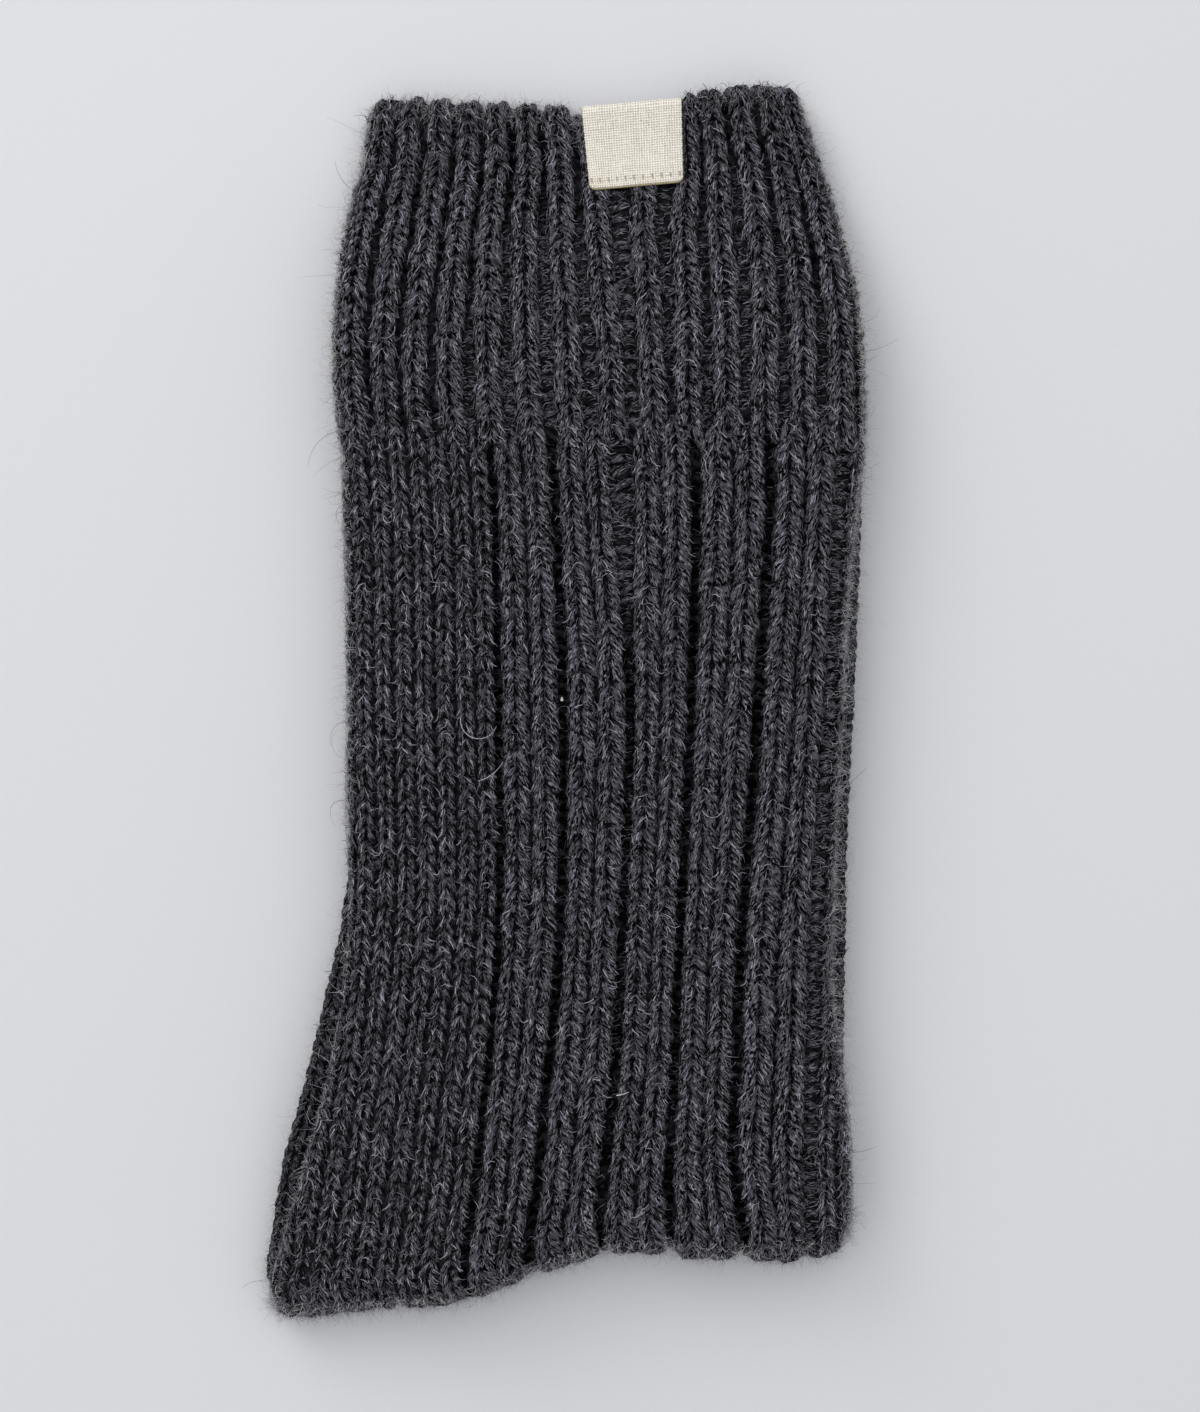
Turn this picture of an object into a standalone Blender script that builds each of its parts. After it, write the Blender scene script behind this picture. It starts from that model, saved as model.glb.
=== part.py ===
"""A folded pair of thick ribbed socks, lying flat.

Each sock is one knitted tube: a cuff of narrow ribs, a leg with a plain panel at the back and wide ribs in
front, a heel, a foot and a closed toe. The two legs lie on each other, and both feet are folded up behind
them: the lower sock's foot lies inside, the upper sock's foot wraps round it and is what the pair rests on.
A folded woven label straddles the upper sock's rim.

X runs across the leg, Y up towards the cuff, Z up from the floor. Every size is in millimetres until
a mesh is made.
"""

import bmesh
import bpy
import numpy as np

MM = 0.001
SHARP_ANGLE = np.radians(60.0)
GAP = 0.3  # between the label and the wall it is folded over
LAYER_GAP = 0.4  # between two folded layers, before the stack is pressed

# The cloth: a wall under its ribs, and how far the knitted ridges rise from it.
WALL = 1.6
BACK_WALL = 2.0
SLIT = 0.2  # half the space left inside a flattened tube
MOUTH_SLIT = 0.65  # the same at the rim, where the label's inner leaf goes in
MOUTH_DEPTH = 15.0
CUFF_RISE = 1.4
RIB_RISE = 1.2
PLAIN_RISE = 0.8
UNDERSIDE_RISE = 0.6
SIDE_ROUND = 2.8  # across the rounded fold at each side of a flattened tube
EDGE_RIDGE = 0.6  # of the full rise, on the cuff's outermost columns
LAST_VALLEY = 0.99  # of the cuff's width
LIP = 0.82  # of the tube's thickness, at the rim's rounded lip
FOLD_SWELL = 1.5  # ribs open out where they run round the bottom fold
RIBS_END = 1.9, 2.8  # radians round the fold, where the ribs flatten under the pair's weight

FRONT = SLIT + WALL
BACK = SLIT + BACK_WALL
LOWER_HALF = 2.2  # half the thickness of the lower sock's flattened tube

# Heights of the layers' middles, from the floor up.
UPPER_FOOT_Z = FRONT + UNDERSIDE_RISE
LOWER_FOOT_Z = UPPER_FOOT_Z + BACK + LAYER_GAP + LOWER_HALF
LOWER_LEG_Z = LOWER_FOOT_Z + 2 * LOWER_HALF + LAYER_GAP
UPPER_LEG_Z = LOWER_LEG_Z + LOWER_HALF + LAYER_GAP + BACK
FEET_TOP = LOWER_LEG_Z - LOWER_HALF

# Where the legs come down past the toes, and where ribs of one kind give way to the other.
DROP_START, DROP_END = 77.0, 113.0
CUFF_END, LEG_START = 54.0, 50.5
RIM_Y = 120.0
RIM_REACH = 25.0  # below the rim, rows follow its line less and less
FOLD_REACH = 90.0  # above the bottom fold, rows follow its slant more and more

UPPER_FOLD_DEPTH = 4.6  # of the bottom fold's middle layer, front to back
LOWER_FOLD_INSET = 4.7  # of the lower sock's fold from the upper one's
UPPER_TOE_Y = 90.0
LOWER_TOE_Y = 80.0
TOE_ROUND = 6.0
TOE_BLUNT = 0.97  # how far round its half circle the toe's section goes
UPPER_TURN_Y = -117.0  # where a tube's edges are read for its bottom fold
LOWER_TURN_Y = -112.0

# The stack is pressed thinner at its side edges and at the heel's corner.
EDGE_PRESS = 0.12
HEEL_PRESS = 0.28
HEEL_CORNER = (-58.0, -122.0)
HEEL_REACH = 48.0
CREASE_TOP, CREASE_FOOT = (-51.6, -106.0), (-54.2, -122.5)
CREASE_DEPTH, CREASE_WIDTH = 0.9, 1.6


def table(columns, *rows):
    """Rows of numbers with named columns. The first column rises."""
    return np.array(list(rows), dtype=[(name, float) for name in columns.split()])


UPPER_LEG = table(
    "y left right",
    (-122.0, -58.6, 54.6),
    (-110.0, -56.0, 54.4),
    (-100.0, -53.2, 53.7),
    (-90.0, -50.2, 53.2),
    (-80.0, -47.2, 53.0),
    (-70.0, -45.1, 52.7),
    (-60.0, -43.4, 52.6),
    (-40.0, -41.9, 53.1),
    (-24.0, -42.5, 53.6),
    (0.0, -42.4, 54.9),
    (28.0, -42.8, 56.4),
    (40.0, -43.2, 57.9),
    (52.0, -43.9, 59.3),
    (60.0, -45.1, 59.4),
    (74.0, -45.4, 58.8),
    (87.0, -44.4, 56.7),
    (94.0, -43.5, 55.1),
    (101.0, -42.2, 53.4),
    (108.0, -40.3, 51.1),
    (115.0, -39.4, 48.5),
    (122.0, -38.6, 46.8),
)

LOWER_LEG = table(
    "y left right",
    (-118.0, -59.7, 57.2),
    (-110.0, -59.4, 57.2),
    (-100.0, -58.1, 56.6),
    (-90.0, -56.4, 55.8),
    (-80.0, -53.4, 55.6),
    (-60.0, -48.2, 56.1),
    (-40.0, -43.9, 56.4),
    (-20.0, -42.0, 56.9),
    (0.0, -41.6, 58.1),
    (28.0, -41.8, 59.1),
    (48.0, -42.6, 59.5),
    (58.0, -44.0, 59.0),
    (74.0, -44.6, 57.8),
    (94.0, -42.7, 54.2),
    (108.0, -39.5, 50.2),
    (122.0, -37.8, 45.8),
)

UPPER_FOOT = table(
    "y left right",
    (-122.0, -58.6, 54.6),
    (-110.0, -55.5, 54.3),
    (-98.0, -50.0, 53.4),
    (-80.0, -44.5, 52.2),
    (-50.0, -42.0, 51.0),
    (0.0, -41.0, 50.0),
    (40.0, -39.5, 48.5),
    (60.0, -36.5, 45.0),
    (72.0, -31.0, 39.5),
    (80.0, -24.5, 33.0),
    (86.0, -15.5, 24.0),
    (89.0, -7.5, 16.0),
    (90.0, -2.0, 10.5),
)

LOWER_FOOT = table(
    "y left right",
    (-118.0, -59.7, 57.2),
    (-108.0, -55.6, 56.2),
    (-96.0, -49.5, 54.6),
    (-80.0, -44.8, 53.4),
    (-50.0, -41.5, 52.0),
    (0.0, -40.0, 50.5),
    (30.0, -38.5, 48.5),
    (50.0, -35.5, 45.0),
    (62.0, -30.0, 39.5),
    (70.0, -23.5, 33.0),
    (76.0, -14.5, 24.0),
    (79.0, -6.5, 16.0),
    (80.0, -1.0, 10.5),
)

# The line of the bottom fold in the valleys between ribs: the heel hangs lower at the left.
BOTTOM_FOLD = table(
    "x y",
    (-59.5, -117.0),
    (-57.6, -120.6),
    (-53.0, -122.4),
    (-46.0, -122.7),
    (-33.0, -121.8),
    (-21.0, -119.9),
    (-13.0, -117.2),
    (-5.0, -114.0),
    (4.0, -110.6),
    (10.0, -109.4),
    (22.0, -109.6),
    (40.0, -109.9),
    (52.0, -108.6),
    (57.5, -105.0),
)

FRONT_RIM = table(
    "x y",
    (-39.0, 120.0),
    (-30.0, 119.9),
    (-18.0, 119.3),
    (-6.0, 118.7),
    (1.5, 118.0),
    (4.0, 117.0),
    (13.0, 117.8),
    (24.5, 118.3),
    (27.0, 121.2),
    (35.0, 122.4),
    (43.0, 123.2),
    (47.0, 122.3),
)

BACK_RIM = table(
    "x y",
    (-39.0, 120.0),
    (-34.0, 120.9),
    (-20.0, 120.5),
    (-8.0, 120.0),
    (0.0, 119.4),
    (6.0, 117.2),
    (22.0, 118.2),
    (30.0, 120.8),
    (43.0, 122.0),
    (47.0, 122.3),
)

# The middle of each cuff ridge, as a share of the cuff's width, at three heights.
CUFF_STATIONS = (66.0, 94.0, 120.0)
CUFF_RIDGES = table(
    "ridge end middle rim",
    (1, 0.031, 0.030, 0.030),
    (2, 0.092, 0.099, 0.089),
    (3, 0.150, 0.166, 0.159),
    (4, 0.216, 0.229, 0.227),
    (5, 0.289, 0.292, 0.294),
    (6, 0.364, 0.361, 0.364),
    (7, 0.443, 0.435, 0.432),
    (8, 0.523, 0.508, 0.508),
    (9, 0.600, 0.600, 0.630),
    (10, 0.669, 0.683, 0.738),
    (11, 0.741, 0.756, 0.796),
    (12, 0.814, 0.834, 0.860),
    (13, 0.887, 0.903, 0.926),
    (14, 0.960, 0.967, 0.975),
)

# The six valleys of the leg, with the five wide ribs between them. The plain panel lies left of the first.
LEG_VALLEYS = table(
    "y v0 v1 v2 v3 v4 v5",
    (-112.0, -19.2, -6.4, 7.6, 21.2, 34.9, 48.8),
    (-100.0, -17.4, -4.6, 8.6, 21.2, 33.8, 48.4),
    (-80.0, -15.4, -3.2, 10.4, 22.0, 33.8, 48.8),
    (-60.0, -13.8, -1.4, 11.2, 22.6, 34.6, 49.4),
    (-40.0, -12.8, -0.4, 12.0, 23.4, 35.8, 50.2),
    (0.0, -13.2, -0.2, 13.2, 25.2, 38.6, 52.6),
    (36.0, -13.8, -1.6, 11.8, 26.2, 40.8, 54.4),
    (54.0, -15.0, -2.6, 11.0, 26.0, 41.0, 55.6),
)

# One cuff ridge and one leg rib across: how far along the pitch, and how much of the full rise.
RIDGE_SECTION = table("along rise", (-0.5, 0.0), (-0.29, 0.8), (0.0, 1.0), (0.29, 0.8))
RIB_SECTION = table("along rise", (0.0, 0.0), (0.15, 0.8), (0.3, 1.0), (0.5, 0.72), (0.7, 1.0), (0.85, 0.8))

# The third valley is wider than the rest, and takes a column from the rib on either side of it.
RIB_BEFORE_WIDE = table(
    "along rise", (0.0, 0.0), (0.14, 0.8), (0.28, 1.0), (0.46, 0.72), (0.64, 1.0), (0.78, 0.8), (0.9, 0.1)
)
RIB_AFTER_WIDE = table(
    "along rise", (0.0, 0.0), (0.1, 0.1), (0.22, 0.8), (0.36, 1.0), (0.54, 0.72), (0.72, 1.0), (0.86, 0.8)
)
LEG_RIBS = (RIB_SECTION, RIB_BEFORE_WIDE, RIB_AFTER_WIDE, RIB_SECTION, RIB_SECTION)
EDGE_SECTION = table("along rise", (0.0, 0.0), (0.22, 0.6), (0.44, 0.85), (0.66, 0.85), (0.84, 0.75))
PLAIN_COLUMNS = 20


def smooth(t):
    """0 below 0, 1 above 1, and an even S between."""
    t = np.clip(t, 0.0, 1.0)
    return t * t * (3.0 - 2.0 * t)


def read(rows, column, at):
    """A column at any place along the table's first column: a cubic through the rows' mean slopes."""
    place, value = rows[rows.dtype.names[0]], rows[column]
    slope = np.gradient(value, place)
    i = np.clip(np.searchsorted(place, at) - 1, 0, len(rows) - 2)
    step = place[i + 1] - place[i]
    t = np.clip((at - place[i]) / step, 0.0, 1.0)
    u = 1.0 - t
    ends = value[i] * u * u * (1.0 + 2.0 * t) + value[i + 1] * t * t * (3.0 - 2.0 * t)
    return ends + step * t * u * (slope[i] * u - slope[i + 1] * t)


def cuff_columns(y):
    """Shares across the width and rises of the front's columns in the cuff: four to a ridge."""
    ridge = np.array([np.interp(y, CUFF_STATIONS, list(row)[1:]) for row in CUFF_RIDGES])
    valley = np.concatenate([[0.0], (ridge[1:] + ridge[:-1]) / 2.0, [LAST_VALLEY]])
    share, rise = [], []
    for k, centre in enumerate(ridge):
        below, above = centre - valley[k], valley[k + 1] - centre
        for along, height in RIDGE_SECTION:
            share.append(centre + 2.0 * along * (below if along < 0 else above))
            rise.append(height * CUFF_RISE)
    share += [LAST_VALLEY, 1.0]
    rise[0] = EDGE_RIDGE * CUFF_RISE
    rise += [EDGE_RIDGE * CUFF_RISE, EDGE_RIDGE * CUFF_RISE]
    return np.array(share), np.array(rise)


def leg_columns(y):
    """The same columns in the leg: twenty in the plain panel, six or seven to a wide rib."""
    left, right = read(UPPER_LEG, "left", y), read(UPPER_LEG, "right", y)
    valleys = [read(LEG_VALLEYS, name, y) for name in LEG_VALLEYS.dtype.names[1:]]
    x = list(np.linspace(left, valleys[0], PLAIN_COLUMNS, endpoint=False))
    rise = [PLAIN_RISE] * PLAIN_COLUMNS
    ends = valleys[1:] + [right]
    for section, start, end in zip((*LEG_RIBS, EDGE_SECTION), valleys, ends):
        x += list(start + section["along"] * (end - start))
        rise += list(section["rise"] * RIB_RISE)
    return (np.array(x + [right]) - left) / (right - left), np.array(rise + [PLAIN_RISE])


def front_columns(y):
    """Shares and rises of the upper sock's front columns at height y, changing over where the cuff ends."""
    cuff, leg = cuff_columns(max(y, CUFF_END)), leg_columns(min(y, LEG_START))
    part = smooth((y - LEG_START) / (CUFF_END - LEG_START))
    return tuple(part * a + (1.0 - part) * b for a, b in zip(cuff, leg))


def plain_columns(count):
    """Shares across the width from near the right edge back to near the left one, closer at the edges."""
    turn = np.pi * np.arange(1, count + 1) / (count + 1)
    return 0.5 + 0.5 * np.cos(turn)


class Sock:
    """A flattened tube that runs down the leg, round the bottom fold and up the folded foot.

    A station is a place along it: ("leg", y), ("fold", angle turned) or ("foot", y)."""

    def __init__(self, edges, heights, thickness, fold_depth, inset, turn_y, toe_y):
        self.edges = edges  # tables of the leg's and the foot's edges
        self.leg_z, self.foot_z = heights
        self.front, self.back = thickness
        self.fold_depth, self.inset = fold_depth, inset
        self.turn_y, self.toe_y = turn_y, toe_y

    def across(self, station, share):
        """X at each share of the width. Round the fold, the edges stay where the turn begins."""
        kind, place = station
        rows = self.edges["foot" if kind == "foot" else "leg"]
        y = self.turn_y if kind == "fold" else place
        left, right = read(rows, "left", y), read(rows, "right", y)
        return left + share * (right - left)

    def middle(self, station, share, back_side):
        """The tube's middle sheet and its outward direction, as arrays over the ring, at one station."""
        kind, place = station
        x = self.across(station, share)
        none, one = np.zeros_like(x), np.ones_like(x)
        reach = self.fold_depth + self.front
        start = read(BOTTOM_FOLD, "y", x) + self.inset + reach
        if kind == "fold":
            out = np.stack([none, -np.sin(place) * one, np.cos(place) * one], 1)
            rise = (self.leg_z - self.foot_z) / 2.0
            y = start - self.fold_depth * np.sin(place)
            return np.stack([x, y, (self.foot_z + rise * (1.0 + np.cos(place))) * one], 1), out
        slant = smooth((self.turn_y + FOLD_REACH - place) / FOLD_REACH)
        y = place + (start - self.turn_y - reach) * slant
        if kind == "foot":
            return np.stack([x, y, self.foot_z * one], 1), np.stack([none, none, -one], 1)
        rim = np.where(back_side, read(BACK_RIM, "y", x), read(FRONT_RIM, "y", x)) - self.inset / 3.0
        y += (rim - RIM_Y) * smooth((place - RIM_Y + RIM_REACH) / RIM_REACH)
        return np.stack([x, y, self.leg_z - dropped(y)], 1), np.stack([none, none, one], 1)

    def taper(self, station):
        """How much of its thickness the tube keeps: less at the rim's lip and round the toe's end."""
        kind, place = station
        if kind == "foot":
            past = np.clip((place - self.toe_y + TOE_ROUND) / TOE_ROUND, 0.0, TOE_BLUNT)
            return np.sqrt(1.0 - past * past)
        return LIP if kind == "leg" and place >= RIM_Y else 1.0


def dropped(y):
    """How far the legs have come down at y: past the toes they lie on the floor."""
    return FEET_TOP * smooth((y - DROP_START) / (DROP_END - DROP_START))


def along_sock(leg_ys, fold_steps, foot_ys):
    """The stations where rings stand: down the leg, round the fold in even turns, up the foot."""
    turn = np.pi * np.arange(fold_steps + 1) / fold_steps
    return [("leg", y) for y in leg_ys] + [("fold", a) for a in turn] + [("foot", y) for y in foot_ys]


def under_share(station):
    """0 on what faces up or out, 1 on the flat underside, and between them where the fold turns under."""
    kind, place = station
    if kind == "fold":
        return float(smooth((place - RIBS_END[0]) / (RIBS_END[1] - RIBS_END[0])))
    return 1.0 if kind == "foot" else 0.0


def press(points):
    """Presses the stack thinner towards its side edges and the heel's corner, and keeps the floor at 0."""
    x, y, z = points.T
    left, right = read(UPPER_LEG, "left", y), read(UPPER_LEG, "right", y)
    q = np.clip(np.abs(2.0 * x - left - right) / (right - left), 0.0, 1.0)
    corner = np.hypot(x - HEEL_CORNER[0], y - HEEL_CORNER[1])
    kept = (1.0 - EDGE_PRESS * q**4) * (1.0 - HEEL_PRESS * smooth(1.0 - corner / HEEL_REACH))
    return np.stack([x, y, z * kept], 1)


def crease(points):
    """Depth of the heel's crease at each point: a soft groove along a short line."""
    a, b = np.array(CREASE_TOP), np.array(CREASE_FOOT)
    along = np.clip(((points[:, :2] - a) @ (b - a)) / ((b - a) @ (b - a)), 0.0, 1.0)
    away = np.linalg.norm(points[:, :2] - a - along[:, None] * (b - a), axis=1)
    return CREASE_DEPTH * np.exp(-((away / CREASE_WIDTH) ** 2))


def rounded(share, width):
    """The half ellipse at each side of a flattened tube: 0 at the very edge, 1 past the rounding."""
    inside = np.minimum(share, 1.0 - share) * width
    return np.sqrt(1.0 - np.clip(1.0 - inside / SIDE_ROUND, 0.0, 1.0) ** 2)


def rib_rise(station, rise, middle):
    """How far the ribbed front stands out of its wall: the ribs swell round the fold and end underneath."""
    under = under_share(station)
    swell = 1.0 + (FOLD_SWELL - 1.0) * np.sin(station[1]) if station[0] == "fold" else 1.0
    return (rise * swell - crease(middle)) * (1.0 - under) + UNDERSIDE_RISE * under


def ring_at(sock, station, front_share, rise, back_share):
    """One outer ring: front columns from left to right, then the back's columns from right to left."""
    share = np.concatenate([front_share, back_share])
    front = len(front_share)
    middle, outward = sock.middle(station, share, np.arange(len(share)) >= front)
    out = np.full(len(share), sock.front)
    if rise is not None:
        out[:front] += rib_rise(station, rise, middle[:front])
    out[front:] = -sock.back
    out *= rounded(share, np.ptp(middle[:, 0])) * sock.taper(station)
    return middle + out[:, None] * outward


def inner_ring_at(sock, station, front_share, back_share, slit):
    """One ring of the tube's plain inside: every third column, moved in from the side edges by the wall."""
    share = np.concatenate([front_share, back_share])[::INNER_SPARSER]
    back_side = np.arange(len(share)) * INNER_SPARSER >= len(front_share)
    middle, outward = sock.middle(station, share, back_side)
    centre, half = (middle[:, 0].min() + middle[:, 0].max()) / 2.0, np.ptp(middle[:, 0]) / 2.0
    middle[:, 0] = centre + (middle[:, 0] - centre) * (half - BACK_WALL) / half
    side = np.where(back_side, -1.0, 1.0) * ((share > 0.0) & (share < 1.0))
    return middle + (side * slit)[:, None] * outward


def finished(mesh, name):
    """A bmesh as triangles that face outwards."""
    bmesh.ops.triangulate(mesh, faces=mesh.faces)
    bmesh.ops.recalc_face_normals(mesh, faces=mesh.faces)
    data = bpy.data.meshes.new(name)
    mesh.to_mesh(data)
    mesh.free()
    return data


def tube_mesh(name, outer, inner):
    """A closed wall: outer rings from toe to rim, inner rings from rim to the end, both ends capped."""
    mesh = bmesh.new()
    rows = [[mesh.verts.new(point * MM) for point in press(ring)] for ring in outer + inner]
    for here, there in zip(rows[:-1], rows[1:]):
        sparser = len(here) // len(there)
        for i, a in enumerate(here):
            b, j = here[(i + 1) % len(here)], i // sparser
            step = ((i + 1) // sparser) % len(there)
            corners = (a, b, there[j]) if step == j else (a, b, there[step], there[j])
            mesh.faces.new(corners)
    mesh.faces.new(rows[0])
    mesh.faces.new(rows[-1])
    return finished(mesh, name)


def add(data, colour, roughness):
    """An object with its own material, shaded smooth except across sharp turns."""
    finish = bpy.data.materials.new(data.name + "_finish")
    finish.use_nodes = True
    shader = finish.node_tree.nodes["Principled BSDF"]
    shader.inputs["Base Color"].default_value = (*colour, 1.0)
    shader.inputs["Roughness"].default_value = roughness
    shader.inputs["Metallic"].default_value = 0.0
    data.materials.append(finish)
    data.shade_smooth()
    data.set_sharp_from_angle(angle=SHARP_ANGLE)
    thing = bpy.data.objects.new(data.name, data)
    bpy.context.scene.collection.objects.link(thing)
    return thing


# Where the rings stand: closer at the rim, where the legs come down past the toes, where the ribs change,
# and at the toe. Both legs share the rings of the cuff, so that their walls stay parallel.
CUFF_YS = (120.0, 118.8, 115.0, 111.0, 107.0, 102.0, 96.0, 89.0, 82.0, 75.0, 65.0)
UPPER_LEG_YS = CUFF_YS + (CUFF_END, LEG_START, 42, 30, 16, 2, -12, -26, -40, -52, -64, -76, -87, -98)
UPPER_FOOT_YS = (-86, -62, -25, 15, 48, 62, 72, 79, 84, 87, 89, 89.9)
INNER_LEG_YS = (120.0, 116, 112, 108, 104, 98, 92, 85, 76, 62, 46, 28, 0, -30, -60, -84)
INNER_FOOT_YS = (-84, -50, 10, 50, 68, 78, 84)
LOWER_LEG_YS = CUFF_YS + (50, 30, 6, -18, -36, -52, -68, -84)
LOWER_FOOT_YS = (-84, -60, -20, 15, 38, 52, 62, 69, 74, 77, 79, 79.9)
LOWER_MOUTH_YS = (120.0, 113.0, 106.0)
FOLD_STEPS = 9
INNER_FOLD_STEPS = 7
LOWER_FOLD_STEPS = 6
BACK_COLUMNS = 20
LOWER_COLUMNS = 23
INNER_SPARSER = 3  # the inside has a column for every third outside


def make_upper_sock():
    """The ribbed tube, a true wall from rim to toe: an outer surface with its ribs over a plain inside."""
    edges = {"leg": UPPER_LEG, "foot": UPPER_FOOT}
    heights = (UPPER_LEG_Z, UPPER_FOOT_Z)
    sock = Sock(edges, heights, (FRONT, BACK), UPPER_FOLD_DEPTH, 0.0, UPPER_TURN_Y, UPPER_TOE_Y)
    back = plain_columns(BACK_COLUMNS)
    outer, inner = [], []
    for station in reversed(along_sock(UPPER_LEG_YS, FOLD_STEPS, UPPER_FOOT_YS)):
        share, rise = front_columns(station[1] if station[0] == "leg" else sock.turn_y)
        outer.append(ring_at(sock, station, share, rise, back))
    for station in along_sock(INNER_LEG_YS, INNER_FOLD_STEPS, INNER_FOOT_YS):
        share, _ = front_columns(station[1] if station[0] == "leg" else sock.turn_y)
        mouth = smooth((station[1] - RIM_Y) / MOUTH_DEPTH + 2.0) if station[0] == "leg" else 0.0
        inner.append(inner_ring_at(sock, station, share, back, SLIT + (MOUTH_SLIT - SLIT) * mouth))
    return add(tube_mesh("upper_sock", outer, inner), (0.052, 0.053, 0.060), 0.95)


def make_lower_sock():
    """The lower sock, pressed flat between the upper one's leg and foot: rounded, and open at the rim."""
    edges = {"leg": LOWER_LEG, "foot": LOWER_FOOT}
    heights = (LOWER_LEG_Z, LOWER_FOOT_Z)
    half = (LOWER_HALF, LOWER_HALF)
    depth = (LOWER_LEG_Z - LOWER_FOOT_Z) / 2.0
    sock = Sock(edges, heights, half, depth, LOWER_FOLD_INSET, LOWER_TURN_Y, LOWER_TOE_Y)
    back = plain_columns(LOWER_COLUMNS)
    front = np.concatenate([[0.0], back[::-1], [1.0]])
    places = reversed(along_sock(LOWER_LEG_YS, LOWER_FOLD_STEPS, LOWER_FOOT_YS))
    outer = [ring_at(sock, station, front, None, back) for station in places]
    inner = [inner_ring_at(sock, ("leg", y), front, back, MOUTH_SLIT) for y in LOWER_MOUTH_YS]
    return add(tube_mesh("lower_sock", outer, inner), (0.050, 0.051, 0.058), 0.95)


# The label: a strip of twill tape, folded over the rim and sewn through, slightly turned.
LABEL_MIDDLE = (13.5, 119.4)
LABEL_WIDTH = 19.7
LABEL_DROP = 16.6
LABEL_INNER_DROP = 12.0
LABEL_THICK = 0.6
LABEL_TURN = np.radians(5.3)
LABEL_LEAN = np.radians(1.8)
LABEL_SOFT = 0.9  # radius of its turns over the rim
LABEL_COLUMNS = 13


def label_section():
    """The tape's run over the rim, as (along, out) pairs for its inner face and its outer face.

    Along is measured up from the tape's top, out from the tube's middle sheet: up the front wall's ribs,
    over the rim in two quarter turns and down inside, a gap away from the wall on every side."""
    top = FRONT + CUFF_RISE + GAP
    inside = MOUTH_SLIT - GAP
    centre = -LABEL_THICK - LABEL_SOFT
    sine, cosine = np.sin(np.radians((0, 30, 60, 90))), np.cos(np.radians((0, 30, 60, 90)))
    front = [(along, top) for along in np.linspace(-LABEL_DROP, 2.0 * centre, 4)]
    up = np.stack([centre + LABEL_SOFT * sine, top - LABEL_SOFT * (1.0 - cosine)], 1)
    down = np.stack([centre + LABEL_SOFT * cosine, inside + LABEL_SOFT * (1.0 - sine)], 1)
    back = [(along, inside) for along in (-LABEL_INNER_DROP / 2.0, -LABEL_INNER_DROP)]
    face = np.concatenate([front, up, down, back])
    run = np.gradient(face, axis=0)
    run /= np.linalg.norm(run, axis=1)[:, None]
    return face, face + LABEL_THICK * np.stack([-run[:, 1], run[:, 0]], 1)


def make_label():
    """The tape's section carried across its width, on the upper sock's own levels."""
    across = np.linspace(-LABEL_WIDTH / 2.0, LABEL_WIDTH / 2.0, LABEL_COLUMNS)
    mesh = bmesh.new()
    grids = []
    for face in label_section():
        grid = []
        for along, out in face:
            x = LABEL_MIDDLE[0] + across * np.cos(LABEL_TURN) - along * np.sin(LABEL_LEAN)
            y = LABEL_MIDDLE[1] + across * np.sin(LABEL_TURN) + along * np.cos(LABEL_LEAN)
            points = press(np.stack([x, y, UPPER_LEG_Z - dropped(y) + out], 1))
            grid.append([mesh.verts.new(point * MM) for point in points])
        grids.append(grid)
    inner, outer = grids
    for i in range(len(inner) - 1):
        for grid in grids:
            for j in range(LABEL_COLUMNS - 1):
                mesh.faces.new((grid[i][j], grid[i + 1][j], grid[i + 1][j + 1], grid[i][j + 1]))
        for j in (0, -1):
            mesh.faces.new((inner[i][j], outer[i][j], outer[i + 1][j], inner[i + 1][j]))
    for i in (0, -1):
        for j in range(LABEL_COLUMNS - 1):
            mesh.faces.new((inner[i][j], inner[i][j + 1], outer[i][j + 1], outer[i][j]))
    return add(finished(mesh, "label"), (0.80, 0.74, 0.63), 0.85)


def centre_on_floor(things):
    """Moves every mesh so that the pair's box stands on the origin at the middle of its bottom."""
    points = np.array([vert.co for thing in things for vert in thing.data.vertices])
    low, high = points.min(axis=0), points.max(axis=0)
    shift = np.array([-(low[0] + high[0]) / 2.0, -(low[1] + high[1]) / 2.0, -low[2]])
    for thing in things:
        for vert in thing.data.vertices:
            vert.co += type(vert.co)(shift)


for thing in list(bpy.data.objects):
    bpy.data.objects.remove(thing, do_unlink=True)
centre_on_floor([make_upper_sock(), make_lower_sock(), make_label()])
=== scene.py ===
"""A folded pair of thick ribbed socks in charcoal yarn, lying flat, seen from straight above."""

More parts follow.
